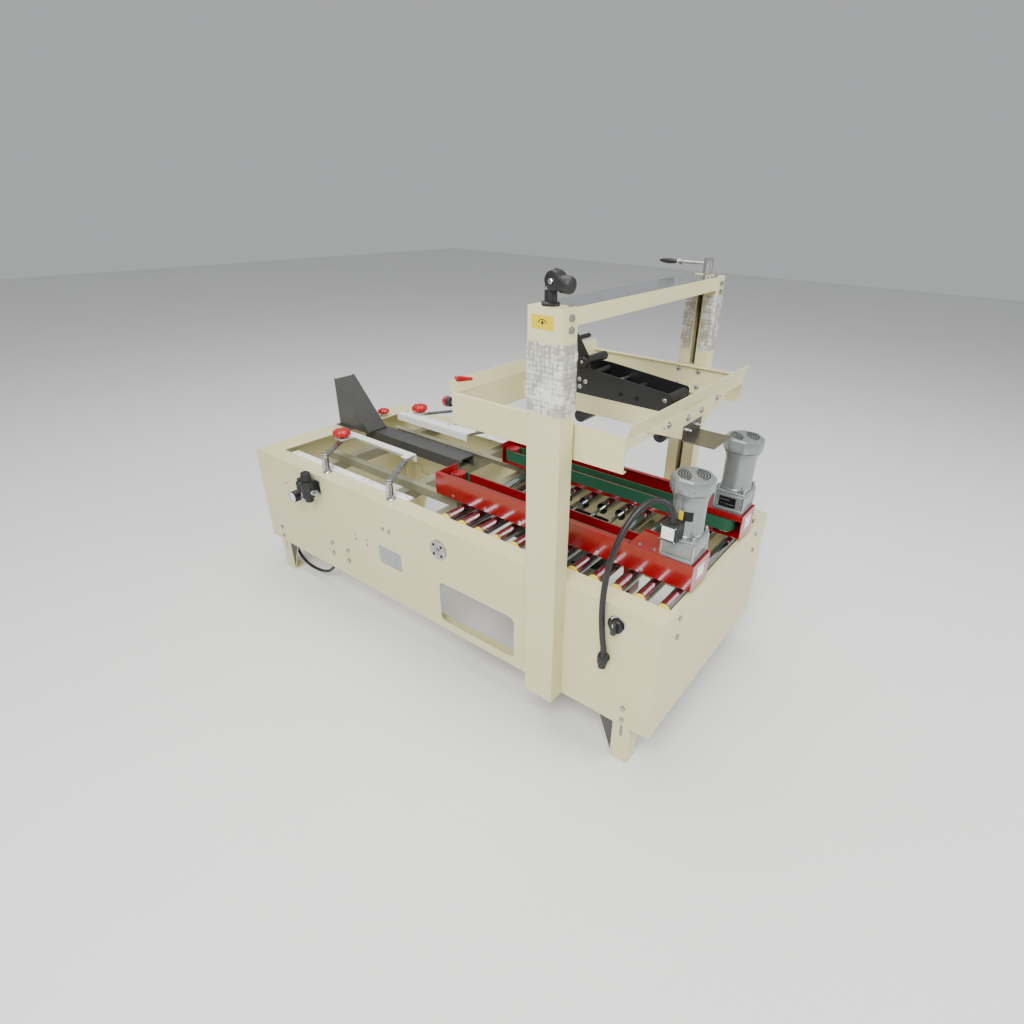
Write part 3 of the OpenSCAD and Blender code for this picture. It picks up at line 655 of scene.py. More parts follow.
def smooth_route(route: Sequence[Point], spacing: float) -> list[Vector]:
    """Points along a Catmull-Rom curve through the route, about spacing apart.

    Args:
        route: The points to pass through.
        spacing: The distance between the points that come back.

    Returns:
        The points, ends included.
    """
    pts = [Vector(p) for p in route]
    padded = [2 * pts[0] - pts[1], *pts, 2 * pts[-1] - pts[-2]]
    out = []
    for a, b, c, d in zip(padded, padded[1:], padded[2:], padded[3:]):
        steps = max(1, round((c - b).length / spacing))
        for k in range(steps):
            t = k / steps
            bend = (2 * a - 5 * b + 4 * c - d) * t * t + (3 * b - a - 3 * c + d) * t * t * t
            out.append(0.5 * (2 * b + (c - a) * t + bend))
    out.append(pts[-1])
    return out


def arc(cx: float, cy: float, r: float, a0: float, a1: float, steps: int = 8) -> list[tuple[float, float]]:
    """Points on an arc.

    Args:
        cx: The centre across.
        cy: The centre up.
        r: The radius.
        a0: The first angle, in degrees.
        a1: The last angle, in degrees.
        steps: How many stretches.

    Returns:
        The points, both ends included.
    """
    angles = [math.radians(a0 + (a1 - a0) * k / steps) for k in range(steps + 1)]
    return [(cx + r * math.cos(a), cy + r * math.sin(a)) for a in angles]


def corners_of(node: str) -> tuple[Vector, Vector]:
    """The corners of a CAD node's box, in millimetres.

    Args:
        node: The node's name.

    Returns:
        The lowest and the highest corner.
    """
    lo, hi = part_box(node)
    return Vector(lo) / MM, Vector(hi) / MM


@dataclass
class GearMotor:
    """One gear motor: square gearbox, round body and a faceted fan cap with slots."""

    side: str
    gear: float = 92.0
    gear_h: float = 68.0
    body_r: float = 44.0
    cap_r: float = 56.0
    cap_h: float = 40.0
    screw_reach: float = 38.0
    slot_turn: float = 37.0
    slot_rings: tuple[float, ...] = (10.0, 17.0, 24.0, 31.0, 38.0)
    slot_half: float = 1.9

    def build(self) -> None:
        """Make the motor and hide its plain stand-in."""
        node = f"gear_motor_{self.side}"
        lo, hi = corners_of(node)
        cx, z0, z1 = (lo.x + hi.x) / 2, lo.z, hi.z
        cy = lo.y + self.cap_r if self.side == "near" else hi.y - self.cap_r
        gear_z = z0 + self.gear_h
        shape = Shaper(
            f"motor_{self.side}", f"drive_{self.side}",
            [GREY_ENAMEL, BLACK_OXIDE, DARK_GAP, ZINC, PLATE_YELLOW], "motor_grey",
        )
        g = self.gear / 2
        shape.slab((cx - g, cy - g, z0 + 0.1), (cx + g, cy + g, z0 + 14), 0, 3.0, 3)
        shape.slab((cx - g + 0.8, cy - g + 0.8, z0 + 13), (cx + g - 0.8, cy + g - 0.8, gear_z - 9), 0, 5.0, 3)
        shape.slab((cx - g, cy - g, gear_z - 10), (cx + g, cy + g, gear_z), 0, 3.0, 3)
        r = self.body_r
        shape.turned(
            [
                (r - 1.5, gear_z - 1), (r + 0.5, gear_z + 6), (r - 1, gear_z + 8),
                (r - 1, z1 - self.cap_h - 26), (r + 1.5, z1 - self.cap_h - 16),
            ]
            + [(r + 5, z1 - self.cap_h - 7), (r + 9, z1 - self.cap_h)],
            (cx, cy, 0),
            which=0,
            sides=72,
        )
        self._cap(shape, cx, cy, z1)
        s = self.screw_reach
        for dx in (-s, s):
            for dy in (-s, s):
                shape.turned(
                    [(6, gear_z - 1), (6, gear_z + 5), (5, gear_z + 6)], (cx + dx, cy + dy, 0), which=0,
                    sides=24,
                )
                shape.screw((cx + dx, cy + dy, gear_z + 5), UP, 4.6, 8.0, 3, 1)
                edge = (cx + math.copysign(g - 2.2, dx), cy + math.copysign(g - 2.2, dy), z0 + 13)
                shape.turned([(3.4, 0), (3.4, self.gear_h - 22)], edge, UP, 3, 16)
        face_y = cy - g - 0.1
        if self.side == "far":
            shape.slab((cx - 28, face_y - 0.6, z0 + 18), (cx + 22, face_y + 0.4, z0 + 50), 1, 0.3, 1)
            shape.slab((cx - 24, face_y - 0.9, z0 + 26), (cx + 18, face_y - 0.5, z0 + 29), 3, 0.1, 1)
            shape.slab((cx - 24, face_y - 0.9, z0 + 38), (cx + 2, face_y - 0.5, z0 + 42), 3, 0.1, 1)
        else:
            self._body_plate(shape, cx, cy, gear_z + 34)
        piece = shape.done()
        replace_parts(piece, node)

    def _cap(self, shape: Shaper, cx: float, cy: float, z1: float) -> None:
        """Add the fan cap: eight soft flats, a domed top and two groups of curved slots.

        Args:
            shape: The piece.
            cx: The axis along the bed.
            cy: The axis across the bed.
            z1: The top.
        """
        r, h = self.cap_r, self.cap_h
        outline = []
        for k in range(8):
            a = 22.5 + 45 * k
            outline += arc(
                cx + (r - 12) * math.cos(math.radians(a)), cy + (r - 12) * math.sin(math.radians(a)), 12,
                a - 22.5, a + 22.5, 4,
            )
        levels = [
            (0.93, z1 - h), (0.985, z1 - h + 2), (1.0, z1 - h + 6), (1.0, z1 - 9), (0.97, z1 - 4),
            (0.9, z1 - 1.2), (0.8, z1 - 0.6),
        ]
        shape.skin([[(cx + (x - cx) * k, cy + (y - cy) * k, z) for x, y in outline] for k, z in levels])
        half = self.slot_half
        for middle in (self.slot_turn, self.slot_turn + 180):
            for ring in self.slot_rings:
                reach = 62 if ring > self.slot_rings[0] else 40
                outer = arc(cx, cy, ring + half, middle - reach, middle + reach, 18)
                inner = arc(cx, cy, ring - half, middle + reach, middle - reach, 18)
                shape.prism(outer + inner, z1 - 0.9, z1 - 0.1, "z", 2)
        for a in (-60, 60, 180):
            x = cx + (r - 1.5) * math.cos(math.radians(a))
            y = cy + (r - 1.5) * math.sin(math.radians(a))
            shape.turned(
                [(3, 0), (3, 1.6), (2, 2.2)], (x, y, z1 - h + 10),
                (math.cos(math.radians(a)), math.sin(math.radians(a)), 0), 3, 16,
            )

    def _body_plate(self, shape: Shaper, cx: float, cy: float, z: float) -> None:
        """Add a blank curved plate with a yellow edge to the body.

        Args:
            shape: The piece.
            cx: The axis along the bed.
            cy: The axis across the bed.
            z: The plate's foot.
        """
        r = self.body_r - 0.6
        for start, stop, low, high, which in ((-100, -84, z + 18, z + 42, 4), (-84, -52, z + 17, z + 42, 1)):
            outer = arc(cx, cy, r + 0.8, start, stop, 6)
            inner = arc(cx, cy, r, stop, start, 6)
            shape.prism(outer + inner, low, high, "z", which)


@dataclass
class TerminalBox:
    """The near motor's black connection box: lid, screws, gland and a blank white plate."""

    plate: float = 34.0

    def build(self) -> None:
        """Make the box's visible parts and hide its plain stand-in."""
        lo, hi = corners_of("junction_box")
        shape = Shaper("terminal_box", "drive_near", [BLACK_NYLON, PLATE_WHITE, ZINC], "black_plastic")
        shape.slab((lo.x, lo.y + 5, lo.z), (hi.x, hi.y, hi.z), 0, 2.5, 3)
        shape.slab((lo.x, lo.y, lo.z + 0.5), (hi.x, lo.y + 6, hi.z - 0.5), 0, 2.0, 3)
        mx, mz, p = (lo.x + hi.x) / 2, (lo.z + hi.z) / 2, self.plate / 2
        shape.slab((mx - p, lo.y - 0.5, mz - p), (mx + p, lo.y + 0.5, mz + p), 1, 0.4, 1)
        for x in (lo.x + 3.6, hi.x - 3.6):
            for z in (lo.z + 4, hi.z - 4):
                shape.turned([(2.2, 0), (2.2, 0.8), (1.4, 1.3)], (x, lo.y, z), FRONT, 2, 12)
        shape.turned([(11.5, 0), (11.5, 5), (10.6, 6)], (815, -240, hi.z - 1), UP, 0, 6)
        shape.turned([(9.8, 5), (9.8, 11), (8.6, 13)], (815, -240, hi.z - 1), UP, 0, 28)
        piece = shape.done()
        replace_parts(piece, "junction_box")


@dataclass
class Cables:
    """The conduit to the near motor and the air hose under the bed."""

    conduit_d: float = 16.0
    hose_d: float = 12.0
    conduit: tuple[Point, ...] = (
        (815, -240, 722), (815, -240, 738), (812, -243, 756), (803, -251, 773), (788, -266, 784),
        (771, -290, 782),
        (756, -320, 762), (745, -348, 728), (737, -370, 686), (731, -384, 640), (727, -390, 590),
        (725, -392, 535),
        (726, -392, 480), (731, -391, 425), (736, -389, 385), (736, -389, 370),
    )  # fmt: skip
    hose: tuple[Point, ...] = (
        (-505, -370, 300), (-505, -357, 300), (-506, -343, 288), (-508, -334, 262), (-511, -330, 225),
        (-516, -330, 180),
        (-526, -330, 130), (-548, -330, 86), (-584, -330, 52), (-630, -330, 32), (-680, -330, 24),
        (-728, -330, 26),
        (-768, -330, 42), (-795, -330, 72), (-808, -330, 112), (-812, -332, 160), (-815, -340, 208),
        (-815, -350, 232),
        (-815, -358, 240), (-815, -370, 240),
    )  # fmt: skip

    def build(self) -> None:
        """Make both; the conduit is a fixed curve from the drive to the bed."""
        shape = Shaper("conduit", "", [HOSE], "black_rubber")
        shape.tube(self.conduit, self.conduit_d / 2, sides=28, spacing=4.0)
        piece = shape.done()
        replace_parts(piece, "drive_conduit")
        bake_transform(piece)
        shape = Shaper("hose", "machine", [HOSE], "black_rubber")
        shape.tube(self.hose, self.hose_d / 2, sides=20, spacing=5.0)
        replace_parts(shape.done(), "air_hose")


@dataclass
class Fittings:
    """The panel gland and the elbow on the near column."""

    gland: Point = (736.0, -389.0, 322.0)
    elbow: Point = (546.5, -399.0, 1220.0)

    def build(self) -> None:
        """Make both in one piece and hide their plain stand-ins."""
        shape = Shaper("fittings", "machine", [BLACK_NYLON, NICKEL], "black_plastic")
        x, y, foot = self.gland
        shape.turned(
            [
                (9.5, 0), (11, 1), (11, 9), (10, 10), (10, 12), (13, 13), (14, 16), (14, 38), (13, 41),
                (10, 47), (9, 48),
            ],
            (x, y, foot), sides=36,
        )
        shape.ribs((x, y, foot + 18), 13.6, 18, 10, 1.0, 0.6)
        shape.turned([(10, 0), (10, 9), (14, 10), (14, 16)], (x, y, foot + 26), BACK, 0, 32)
        self._elbow(shape)
        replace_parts(shape.done(), "cable_fittings")

    def _elbow(self, shape: Shaper) -> None:
        """Add the clamp-on elbow: ribbed socket, knuckle, band and end cap.

        Args:
            shape: The piece.
        """
        x, y, z = self.elbow
        shape.turned(
            [(20, 0), (20, 5), (17, 8), (13.5, 9), (13, 30), (12.4, 34), (13, 38), (13, 46)], (x, y, z),
            sides=40,
        )
        shape.ribs((x, y, z + 8), 12.8, 22, 12, 0.9)
        shape.turned([(14, 0), (15, 1), (15, 4), (14, 5)], (x, y, z + 33), UP, 1, 40)
        shape.turned(
            [(13, 0), (19, 2), (21, 6), (21, 28), (19, 32), (13, 34)], (x + 12, y - 17, z + 51), BACK, 0,
            40,
        )
        shape.turned(
            [(15, 0), (15, 12), (17, 14), (18, 17), (18, 36), (16, 41), (10, 43)], (x + 12, y, z + 46),
            (1, 0, -0.05), 0, 40,
        )
        shape.turned([(6, 0), (6, 4), (4.5, 5)], (x + 12, y - 17, z + 51), FRONT, 1, 6)
        shape.slab((x + 8, y - 3, z + 66), (x + 18, y + 3, z + 74), 0, 1.5, 2)


@dataclass
class StarKnob:
    """A lobed hand knob on a nickel collar."""

    name: str
    body: str
    node: str = ""
    radius: float = 33.5
    height: float = 27.0
    lobes: int = 6

    def build(self, at: Point | None = None) -> None:
        """Make the knob where its node lies, or at a given foot.

        Args:
            at: The middle of its underside, in millimetres, where there is no node.
        """
        if self.node:
            lo, hi = corners_of(self.node)
            x, y, z0, z1 = (lo.x + hi.x) / 2, (lo.y + hi.y) / 2, lo.z, hi.z
        else:
            x, y, z0 = at
            z1 = z0 + 12 + self.height
        shape = Shaper(self.name, self.body, [RED_ABS, NICKEL], "red_plastic")
        top = z1
        base = max(z0 + 2.0, z1 - self.height)
        steps = 96
        levels = [
            (0.62, base - 1), (0.86, base + 1.5), (0.97, base + 4), (1.0, base + 9), (0.98, top - 9),
            (0.88, top - 3.5), (0.7, top - 1), (0.45, top),
        ]
        lobed = []
        for i in range(steps):
            a = math.tau * i / steps
            wave = 0.5 + 0.5 * math.cos(self.lobes * a)
            r = self.radius * (0.86 + 0.14 * wave**0.6)
            lobed.append((r * math.cos(a), r * math.sin(a)))
        shape.skin([[(x + k * dx, y + k * dy, z) for dx, dy in lobed] for k, z in levels])
        shape.turned([(9.5, 0), (10.5, 1), (10.5, base - z0)], (x, y, z0), which=1, sides=32)
        shape.turned([(7, 0), (7, 0.6), (5, 0.9)], (x, y, top - 0.6), which=0, sides=32)
        piece = shape.done(50)
        if self.node:
            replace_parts(piece, self.node)


@dataclass
class GuideStands:
    """The four nickel guide posts with their clamp levers, and the white slide strips."""

    post_xs: tuple[float, float] = (-480.0, -137.0)
    post_y: float = 333.0
    post_top: float = 590.6
    bed_top: float = 520.0
    strip_xs: tuple[float, float, float] = (-732.0, -513.0, -294.0)
    strip_l: float = 214.0
    strip_y: float = 314.0
    strip_w: float = 29.0

    def build(self) -> None:
        """Make posts and strips, one piece a finish, and hide their stand-in."""
        posts = Shaper("guide_posts", "machine", [NICKEL, BLACK_OXIDE], "zinc_steel")
        for sign in (-1, 1):
            for x in self.post_xs:
                self._post(posts, x, sign * self.post_y, sign)
        strips = Shaper("slide_strips", "machine", [WHITE_STRIP, BLACK_OXIDE])
        for sign in (-1, 1):
            for x in self.strip_xs:
                y0, y1 = sorted((sign * self.strip_y, sign * (self.strip_y - self.strip_w)))
                strips.slab((x, y0, self.bed_top), (x + self.strip_l, y1, self.bed_top + 6), 0, 1.2, 2)
                for dx in (18, self.strip_l - 18):
                    strips.turned(
                        [(3.5, 0), (3.5, 0.5), (2.2, 0.7)], (x + dx, (y0 + y1) / 2, self.bed_top + 5.7),
                        which=1, sides=20,
                    )
        piece = posts.done()
        strips.done()
        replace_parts(piece, "guide_mounts")

    def _post(self, shape: Shaper, x: float, y: float, sign: int) -> None:
        """Add one post: base flange, column, top stud and a drooping clamp lever.

        Args:
            shape: The piece.
            x: The axis along the bed.
            y: The axis across the bed.
            sign: -1 on the near side, 1 on the far side.
        """
        z = self.bed_top
        shape.turned(
            [(16, 0), (16, 3), (14.5, 5), (11, 6), (10, 8), (10, 56), (9, 58.8), (8, 59.5)], (x, y, z),
            which=0, sides=36,
        )
        shape.turned([(4.98, 59), (4.98, 70), (4, 70.6)], (x, y, z), which=0, sides=24)
        shape.turned([(8, 0), (9, 1), (9, 5), (7, 7)], (x, y, self.post_top - 2.6), which=0, sides=6)
        lever = Matrix.Rotation(math.radians(8), 3, "Y")
        shape.slab(
            (x - 6.5, y + sign * 12 - 3.0, z + 12), (x + 6.5, y + sign * 12 + 3.0, z + 62), 0, 2.6, 3, lever,
        )
        shape.turned([(6, 0), (6, 12)], (x, y, z + 52), (0, sign, 0), 0, 20)


@dataclass
class AirUnit:
    """Filter regulator on the near panel: bowl, body, gauge, valve and fittings."""

    x: float = -505.0
    y: float = -407.0
    wall_y: float = -373.0

    def build(self) -> None:
        """Make the unit and hide its stand-in, and the same for its knob."""
        x, y = self.x, self.y
        shape = Shaper(
            "air_unit", "machine", [BLACK_NYLON, NICKEL, GAUGE_FACE, DARK_GAP, ZINC, RED_ABS],
            "black_plastic",
        )
        shape.slab((x - 30, self.wall_y - 4, 447), (x + 30, self.wall_y, 500), 4, 1.5, 2)
        shape.slab((x - 10, y + 14, 462), (x + 10, self.wall_y - 3, 488), 0, 2, 2)
        shape.turned(
            [
                (13, 424), (15, 426), (15, 437), (20, 439), (22, 442), (22, 470), (21.5, 472), (22, 474),
                (22, 500), (20, 504.6),
            ],
            (x, y, 0), sides=44,
        )
        shape.turned([(5.9, 504), (5.9, 520)], (x, y, 0), which=1, sides=24)
        for z in (455, 462, 486):
            shape.turned([(22.2, 0), (22.5, 1), (22.2, 2)], (x, y, z), which=0, sides=44)
        shape.turned([(9, 0), (11, 2), (11, 14), (9.5, 16), (9.5, 28)], (x - 14, y, 474), (-1, 0, 0), 0, 32)
        shape.turned([(2.6, 0), (3, 0.5), (3, 2.6)], (x - 46, y, 502), UP, 5, 16)
        shape.turned(
            [(12, -26), (14, -24), (14, 12), (12, 15), (8, 17), (8, 26), (6.5, 28)], (x - 46, y, 474),
            UP, 0, 28,
        )
        shape.turned(
            [(7, 18), (8.5, 20), (8.5, 30), (6, 31), (6, 38), (7, 39), (7, 49), (5, 50)], (x, y, 468),
            (1, 0, -0.06), 1, 28,
        )
        shape.turned([(4, 16), (5, 18), (5, 60)], (x, y, 424), (-1, 0, 0), 1, 24)
        gx = x - 76
        shape.turned(
            [(17, 0), (21, 3), (21, 24), (20.4, 27.5), (18.8, 28), (18.6, 26.6)], (gx, y + 6, 424),
            FRONT, 0, 48,
        )
        shape.turned([(18.4, 0), (18.4, 0.5)], (gx, y - 20.5, 424), FRONT, 2, 48)
        for k in range(9):
            a = math.radians(-45 + 33.75 * k)
            px, pz = gx + 15.4 * math.cos(a), 424 + 15.4 * math.sin(a)
            turn = Matrix.Rotation(-a, 3, "Y")
            shape.slab((px - 1.6, y - 21.4, pz - 0.5), (px + 1.6, y - 21.0, pz + 0.5), 3, 0.0, 1, turn)
        shape.slab(
            (gx - 8, y - 21.6, 423.2), (gx + 12, y - 21.2, 424.6), 3, 0.0, 1,
            Matrix.Rotation(math.radians(40), 3, "Y"),
        )
        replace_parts(shape.done(), "air_regulator")
        lo, hi = corners_of("regulator_knob")
        knob = Shaper("regulator_cap", "regulator", [BLACK_NYLON], "black_plastic")
        knob.turned(
            [
                (16, lo.z), (17.6, lo.z + 2), (17.6, lo.z + 22), (16.6, lo.z + 24), (16.6, hi.z - 2),
                (14, hi.z),
            ],
            (x, y, 0), sides=40,
        )
        knob.ribs((x, y, lo.z + 2), 17.4, 19, 24, 0.9)
        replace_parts(knob.done(), "regulator_knob")


@dataclass
class PanelDetails:
    """Blank plates, the switch, the bearing cover and washers on the near panel and column."""

    wall_y: float = -373.0

    def build(self) -> None:
        """Make the thin pieces fixed to the bed and columns."""
        y = self.wall_y
        plates = Shaper(
            "blank_plates", "machine", [PLATE_SILVER, PLATE_YELLOW, DARK_GAP, PLATE_WHITE, ZINC],
            "zinc_steel",
        )
        plates.slab((-180, y - 0.9, 278), (-68, y, 347), 0, 0.4, 1)
        for x in (-175, -73):
            for z in (283, 342):
                plates.turned([(1.8, 0), (1.8, 0.8), (1, 1.2)], (x, y - 0.9, z), FRONT, 4, 12)
        plates.slab((516, -425.7, 1174), (575, -425, 1203), 1, 0.3, 1)
        ring_out = arc(545.5, 1183, 12.5, 20, 160, 18)
        ring_in = arc(545.5, 1183, 10.5, 160, 20, 18)
        plates.prism(ring_out + ring_in, -426.0, -425.6, "y", 2)
        plates.turned([(3.4, 0), (3.4, 0.4)], (545.5, -425.6, 1188), FRONT, 2, 20)
        plates.done()
        self._cover()
        self._switch()
        self._leg_webs()

    def _leg_webs(self) -> None:
        """Add a dark grey sheet, painted shade, on the outer face of the web behind each leg."""
        foot = corners_of("legs")[1].x - 55.0
        shape = Shaper("leg_web_painted_shade", "machine", [WEB_SHADE_GREY], "black_paint")
        for sx in (-1, 1):
            for sy in (-1, 1):
                y0, y1 = sorted((sy * 367.6, sy * 366.9))
                outline = [(foot - 0.5, 14), (foot - 0.5, 136), (foot - 46, 136), (foot - 46, 132)]
                shape.prism([(sx * a, b) for a, b in outline], y0, y1, "y", 0)
        shape.done()

    def _cover(self) -> None:
        """Add the turned face and screws of the width screw's bearing cover."""
        lo, hi = corners_of("width_screw")
        x = (lo.x + hi.x) / 2
        shape = Shaper("bearing_cover_face", "machine", [ZINC, BLACK_OXIDE, DARK_GAP], "zinc_steel")
        shape.turned(
            [(33, 0), (33, 0.6), (31, 1.0), (14, 1.0), (13.6, 0.2)], (x, self.wall_y - 5, 441), FRONT, 0,
            64,
        )
        for k in range(4):
            a = math.radians(45 + 90 * k)
            shape.screw(
                (x + 23 * math.cos(a), self.wall_y - 6, 441 + 23 * math.sin(a)), FRONT, 3.2, 3.0, 1, 2,
            )
        shape.done()
        hexes = Shaper("width_screw_end", "width_screw", [ZINC, DARK_GAP], "zinc_steel")
        hexes.turned(
            [(7.9, 0), (7.9, 3.4), (6.6, 4.4), (3.5, 4.4), (3.4, 2.0)], (x, self.wall_y - 4, 441), FRONT,
            0, 6,
        )
        hexes.done()

    def _switch(self) -> None:
        """Add the rotary switch: bezel, legend ring left blank, and a winged grip."""
        x, z, y = 762.0, 463.0, self.wall_y
        bezel = Shaper("switch_bezel", "machine", [NICKEL, BLACK_NYLON], "zinc_steel")
        bezel.turned(
            [(27.5, 0), (28, 0.6), (28, 2.6), (26.6, 3.6), (23.4, 3.7), (23, 3.1)], (x, y, z), FRONT, 0,
            64,
        )
        bezel.done()
        grip = Shaper("switch_grip", "switch", [BLACK_NYLON, PLATE_WHITE], "black_plastic")
        grip.turned([(6, 0.5), (6, 4.4)], (x, y, z), FRONT, 0, 24)
        grip.turned([(17, 4.3), (20, 5.2), (20, 11), (18.4, 13)], (x, y, z), FRONT, 0, 48)
        grip.slab((x - 7.5, y - 26, z - 19), (x + 7.5, y - 10, z + 19), 0, 4.5, 4)
        grip.slab((x - 1, y - 26.4, z + 8), (x + 1, y - 25.6, z + 18), 1, 0.3, 1)
        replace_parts(grip.done(), "switch_knob")


@dataclass
class ColumnWraps:
    """Bubble film wound round each column, with the inner slot left open."""

    post_x0: float = 505.0
    post_x1: float = 600.0
    post_y0: float = 373.0
    post_y1: float = 425.0
    step: float = 5.0

    def build(self) -> None:
        """Make both wraps in one piece and hide their stand-in."""
        shape = Shaper("column_wraps", "machine", [BUBBLE], "wrap_film")
        self._sleeve(shape, -1, 989, 1146)
        self._sleeve(shape, 1, 999, 1166)
        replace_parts(shape.done(70), "post_wraps")

    def _path(self, sign: int) -> list[tuple[float, float, float, float]]:
        """The film's way round the column.

        Args:
            sign: -1 for the near column, 1 for the far one.

        Returns:
            Position and outward direction, point by point.
        """
        x0, x1, y0, y1 = self.post_x0, self.post_x1, self.post_y0, self.post_y1
        stops: list[tuple[float, float]] = [(539, y0), (x0, y0), (x0, y1), (x1, y1), (x1, y0), (566, y0)]
        out = []
        for (ax, ay), (bx, by) in zip(stops, stops[1:]):
            n = max(2, round(math.hypot(bx - ax, by - ay) / self.step))
            nx, ny = (by - ay), -(bx - ax)
            size = math.hypot(nx, ny)
            nx, ny = nx / size, ny / size
            mx, my = (x0 + x1) / 2, (y0 + y1) / 2
            if (ax + bx) / 2 * nx + (ay + by) / 2 * ny < mx * nx + my * ny:
                nx, ny = -nx, -ny
            for k in range(n + 1):
                t = k / n
                out.append((ax + (bx - ax) * t, sign * (ay + (by - ay) * t), nx, sign * ny))
        return out

    def _sleeve(self, shape: Shaper, sign: int, z0: float, z1: float) -> None:
        """Add one sleeve as a thin closed skin with soft swells and ragged ends.

        Args:
            shape: The piece.
            sign: -1 for the near column, 1 for the far one.
            z0: The lower end.
            z1: The upper end.
        """
        path = self._path(sign)
        rows = round((z1 - z0) / self.step)
        outer, inner = [], []
        for i, (x, y, nx, ny) in enumerate(path):
            ragged_low = 3.0 * math.sin(i * 0.7) + 2.0 * math.sin(i * 1.9 + 1)
            ragged_high = 2.5 * math.sin(i * 0.5 + 2) + 1.5 * math.sin(i * 2.3)
            col_out, col_in = [], []
            for j in range(rows + 1):
                t = j / rows
                z = z0 + (z1 - z0) * t + ragged_low * (1 - t) ** 3 * 0.5 + ragged_high * t**3 * 0.5
                swell = 3.0 + 1.0 * math.sin(i * 0.55 + 1.3 * math.sin(j * 0.4))
                swell += 0.8 * math.sin(j * 0.9 + i * 0.2)
                edge = min(1.0, 0.35 + 4 * min(t, 1 - t))
                lift = max(0.7, min(4.8, swell * edge))
                col_out.append(shape.bm.verts.new((x + nx * lift, y + ny * lift, z)))
                col_in.append(shape.bm.verts.new((x + nx * 0.35, y + ny * 0.35, z)))
            outer.append(col_out)
            inner.append(col_in)
        faces = []
        n = len(path)
        for i in range(n - 1):
            for j in range(rows):
                faces.append(
                    shape.bm.faces.new((outer[i][j], outer[i + 1][j], outer[i + 1][j + 1], outer[i][j + 1]))
                )
        for i in range(n - 1):
            for j in (0, rows):
                faces.append(shape.bm.faces.new((outer[i][j], inner[i][j], inner[i + 1][j], outer[i + 1][j])))
        for i in (0, n - 1):
            for j in range(rows):
                faces.append(shape.bm.faces.new((outer[i][j], outer[i][j + 1], inner[i][j + 1], inner[i][j])))
        shape.paint(faces, 0)


